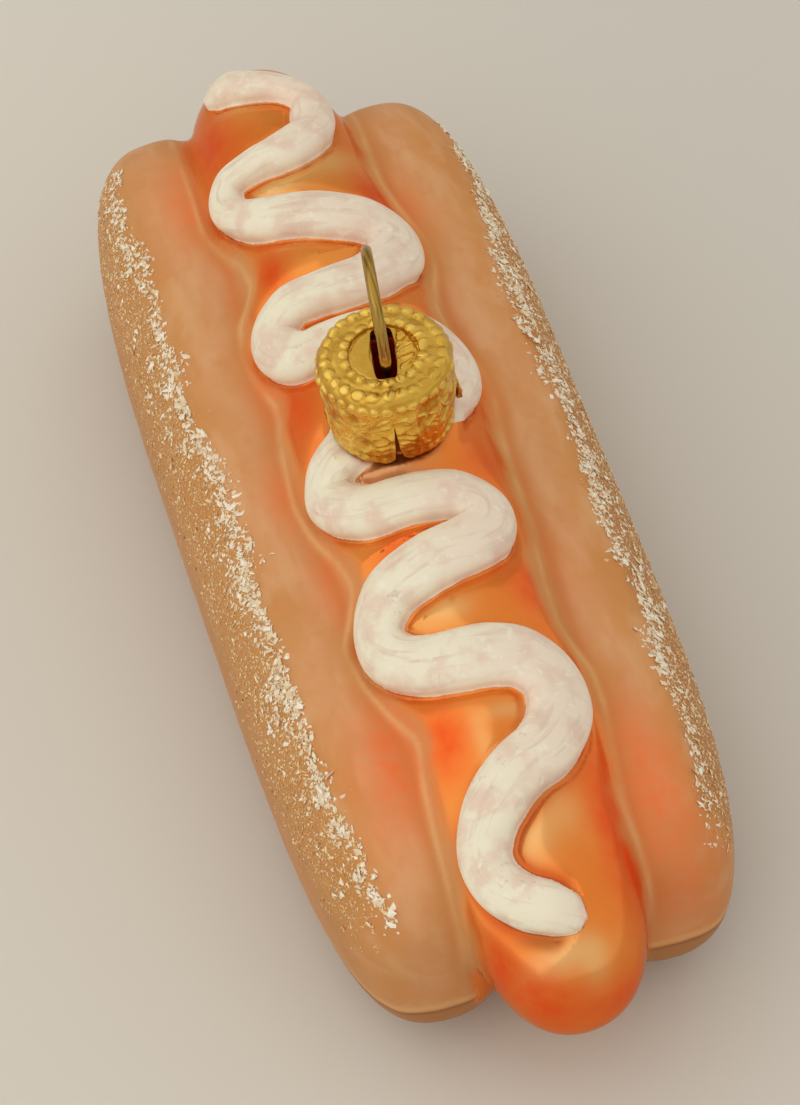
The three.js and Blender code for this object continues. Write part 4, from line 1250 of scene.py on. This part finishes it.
def brass():
    m = Paint("brass_wire")
    run = m.attr("run")
    drawn = m.noise(0.5, 3, at=m.combine(m.mul(run, 0.12), m.mul(m.separate(m.mm)[0], 3.0), m.mul(m.separate(m.mm)[2], 0.2)))
    mid = m.noise(1.5, 3)
    c = m.mix(m.ramp(drawn, 0.35, 0.7), srgb(190, 152, 70), srgb(128, 98, 40))
    c = m.mix(m.ramp(mid, 0.45, 0.75, 0.0, 0.6), c, srgb(170, 128, 80))
    m.set(Base_Color=c, Metallic=1.0, Roughness=m.add(m.mul(drawn, 0.2), 0.12), Normal=m.bump(drawn, 0.02, 0.4))
    return m.mat


def flakes(name, light, dark, metal, rough):
    m = Paint(name)
    shade = m.attr("shade")
    c = m.mix(m.ramp(shade, 0.15, 0.85), dark, light)
    c = m.mix(m.ramp(m.noise(0.2, 2), 0.5, 0.75, 0.0, 0.3), c, dark)
    m.set(Base_Color=c, Metallic=metal, Roughness=m.add(rough, m.mul(m.noise(0.12, 1), 0.15)))
    return m.mat


# ---------------------------------------------------------------- pieces
body, p, tri, normal, where, lip_at = glass_body()
body.data.materials.clear()
body.data.materials.append(painted_glass())
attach(body, "root")
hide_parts("glass_body")

past = past_glitter_edge(p, round_lobe(p))
past = past + 5.0 * noise(p, 3.0, 61) + 3.0 * noise(p, 1.1, 62)
ends = ramp(50.5 - np.abs(p[:, 1] - 1.5), 0, 8)
clumps = 0.25 + 0.75 * ramp(noise(p, 1.7, 63) + 0.7 * noise(p, 0.8, 64), -0.35, 0.5)
white = (bump(past, 3.0, 4.2) + 0.12 * ramp(past, 4.0, 8.0) * ramp(-past, -34, -10)) * (past > -2.5) * clumps * ends
white = white * ramp(where["crease"], 2.2, 3.2)
gold = ramp(past, -1.0, 3.0) * ramp(-past, -62, -12) ** 1.3 * ends * ramp(where["crease"], 2.2, 3.2)
gold = gold * (0.3 + 0.7 * ramp(noise(p, 0.9, 65), -0.5, 0.5))
stray = 0.012 * ramp(past, -12, -2) * ramp(-past, -10, 2) * ends * (where["crease"] > 3.0)
piece = glitter("glitter_white", p, tri, normal, white, 6800, (0.15, 0.48, 0.45), 3, 6, 0.3)
piece.data.materials.append(flakes("glitter_white", srgb(252, 243, 222), srgb(236, 214, 178), 0.2, 0.25))
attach(piece, "root")
piece = glitter("glitter_gold", p, tri, normal, gold + stray, 15000, (0.1, 0.34, 0.26), 4, 5, 0.16)
piece.data.materials.append(flakes("glitter_gold", srgb(250, 226, 178), srgb(224, 176, 116), 0.35, 0.28))
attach(piece, "root")

cap = crown_cap()
cap.data.materials.append(gold_leaf())
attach(cap, "root")
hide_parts("crown_cap")

wire = hanger_wire()
wire.data.materials.append(brass())
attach(wire, "root")
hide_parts("hanger_wire")


# ---------------------------------------------------------------- floor, light, camera
def backdrop():
    """A pale sheet under the object that curves up far behind it."""
    n, w = 60, 900.0
    prof = [(-700.0, -0.02), (520.0, -0.02)]
    for i in range(1, 13):
        a = math.pi / 2 * i / 12
        prof.append((520 + 260 * math.sin(a), -0.02 + 260 * (1 - math.cos(a))))
    prof.append((780, 700))
    verts, faces = [], []
    for x in (-w, w):
        verts += [(x, y, z) for y, z in prof]
    k = len(prof)
    for i in range(k - 1):
        faces.append((i, k + i, k + i + 1, i + 1))
    ob = mesh_object("floor", np.array(verts), faces)
    m = Paint("pale_floor")
    c = m.mix(m.noise(60.0, 2), srgb(227, 220, 207), srgb(223, 216, 204))
    x = m.separate(m.mm)[0]
    # painted shade: the floor is darker towards the right
    c = m.mix(m.ramp(x, -35, 60), c, srgb(214, 208, 197))
    m.set(Base_Color=c, Roughness=0.7)
    m.bsdf.inputs["Specular IOR Level"].default_value = 0.2
    ob.data.materials.append(m.mat)


backdrop()


def area_light(name, direction, distance, size, power, colour):
    d = Vector(direction).normalized()
    light = bpy.data.lights.new(name, "AREA")
    light.shape = "RECTANGLE"
    light.size, light.size_y = size
    light.energy = power
    light.color = colour
    ob = bpy.data.objects.new(name, light)
    bpy.context.scene.collection.objects.link(ob)
    ob.location = d * distance + Vector((0, 0, 0.02))
    ob.rotation_euler = d.to_track_quat("Z", "Y").to_euler()
    return ob


area_light("window", (-0.09, 0.86, 0.54), 1.0, (0.5, 0.15), 2.6, (1.0, 0.98, 0.93))
area_light("room", (-0.75, -0.1, 0.85), 1.3, (2.4, 2.4), 5.9, (1.0, 0.975, 0.94))

world = bpy.data.worlds.new("room_light")
bpy.context.scene.world = world
world.use_nodes = True
bg = world.node_tree.nodes["Background"]
bg.inputs[0].default_value = (0.80, 0.79, 0.76, 1)
bg.inputs[1].default_value = 0.92

camera = bpy.data.cameras.new("camera")
camera.sensor_width = 36
camera.lens = 3935.9 / 1105 * 36
camera.clip_start, camera.clip_end = 0.01, 10
eye = bpy.data.objects.new("camera", camera)
bpy.context.scene.collection.objects.link(eye)
az, el, roll = (math.radians(v) for v in (-10.94, 50.91, -6.52))
back = Vector((math.sin(az) * math.cos(el), -math.cos(az) * math.cos(el), math.sin(el)))
right = (-back).cross(Vector((0, 0, 1))).normalized()
up = right.cross(-back)
r2, u2 = math.cos(roll) * right + math.sin(roll) * up, -math.sin(roll) * right + math.cos(roll) * up
place = Matrix((r2, u2, back)).transposed().to_4x4()
place.translation = Vector((-2.11, -7.92, 20.0)) * MM + back * 363.27 * MM
eye.matrix_world = place
bpy.context.scene.camera = eye
bpy.context.scene.view_settings.view_transform = "Standard"
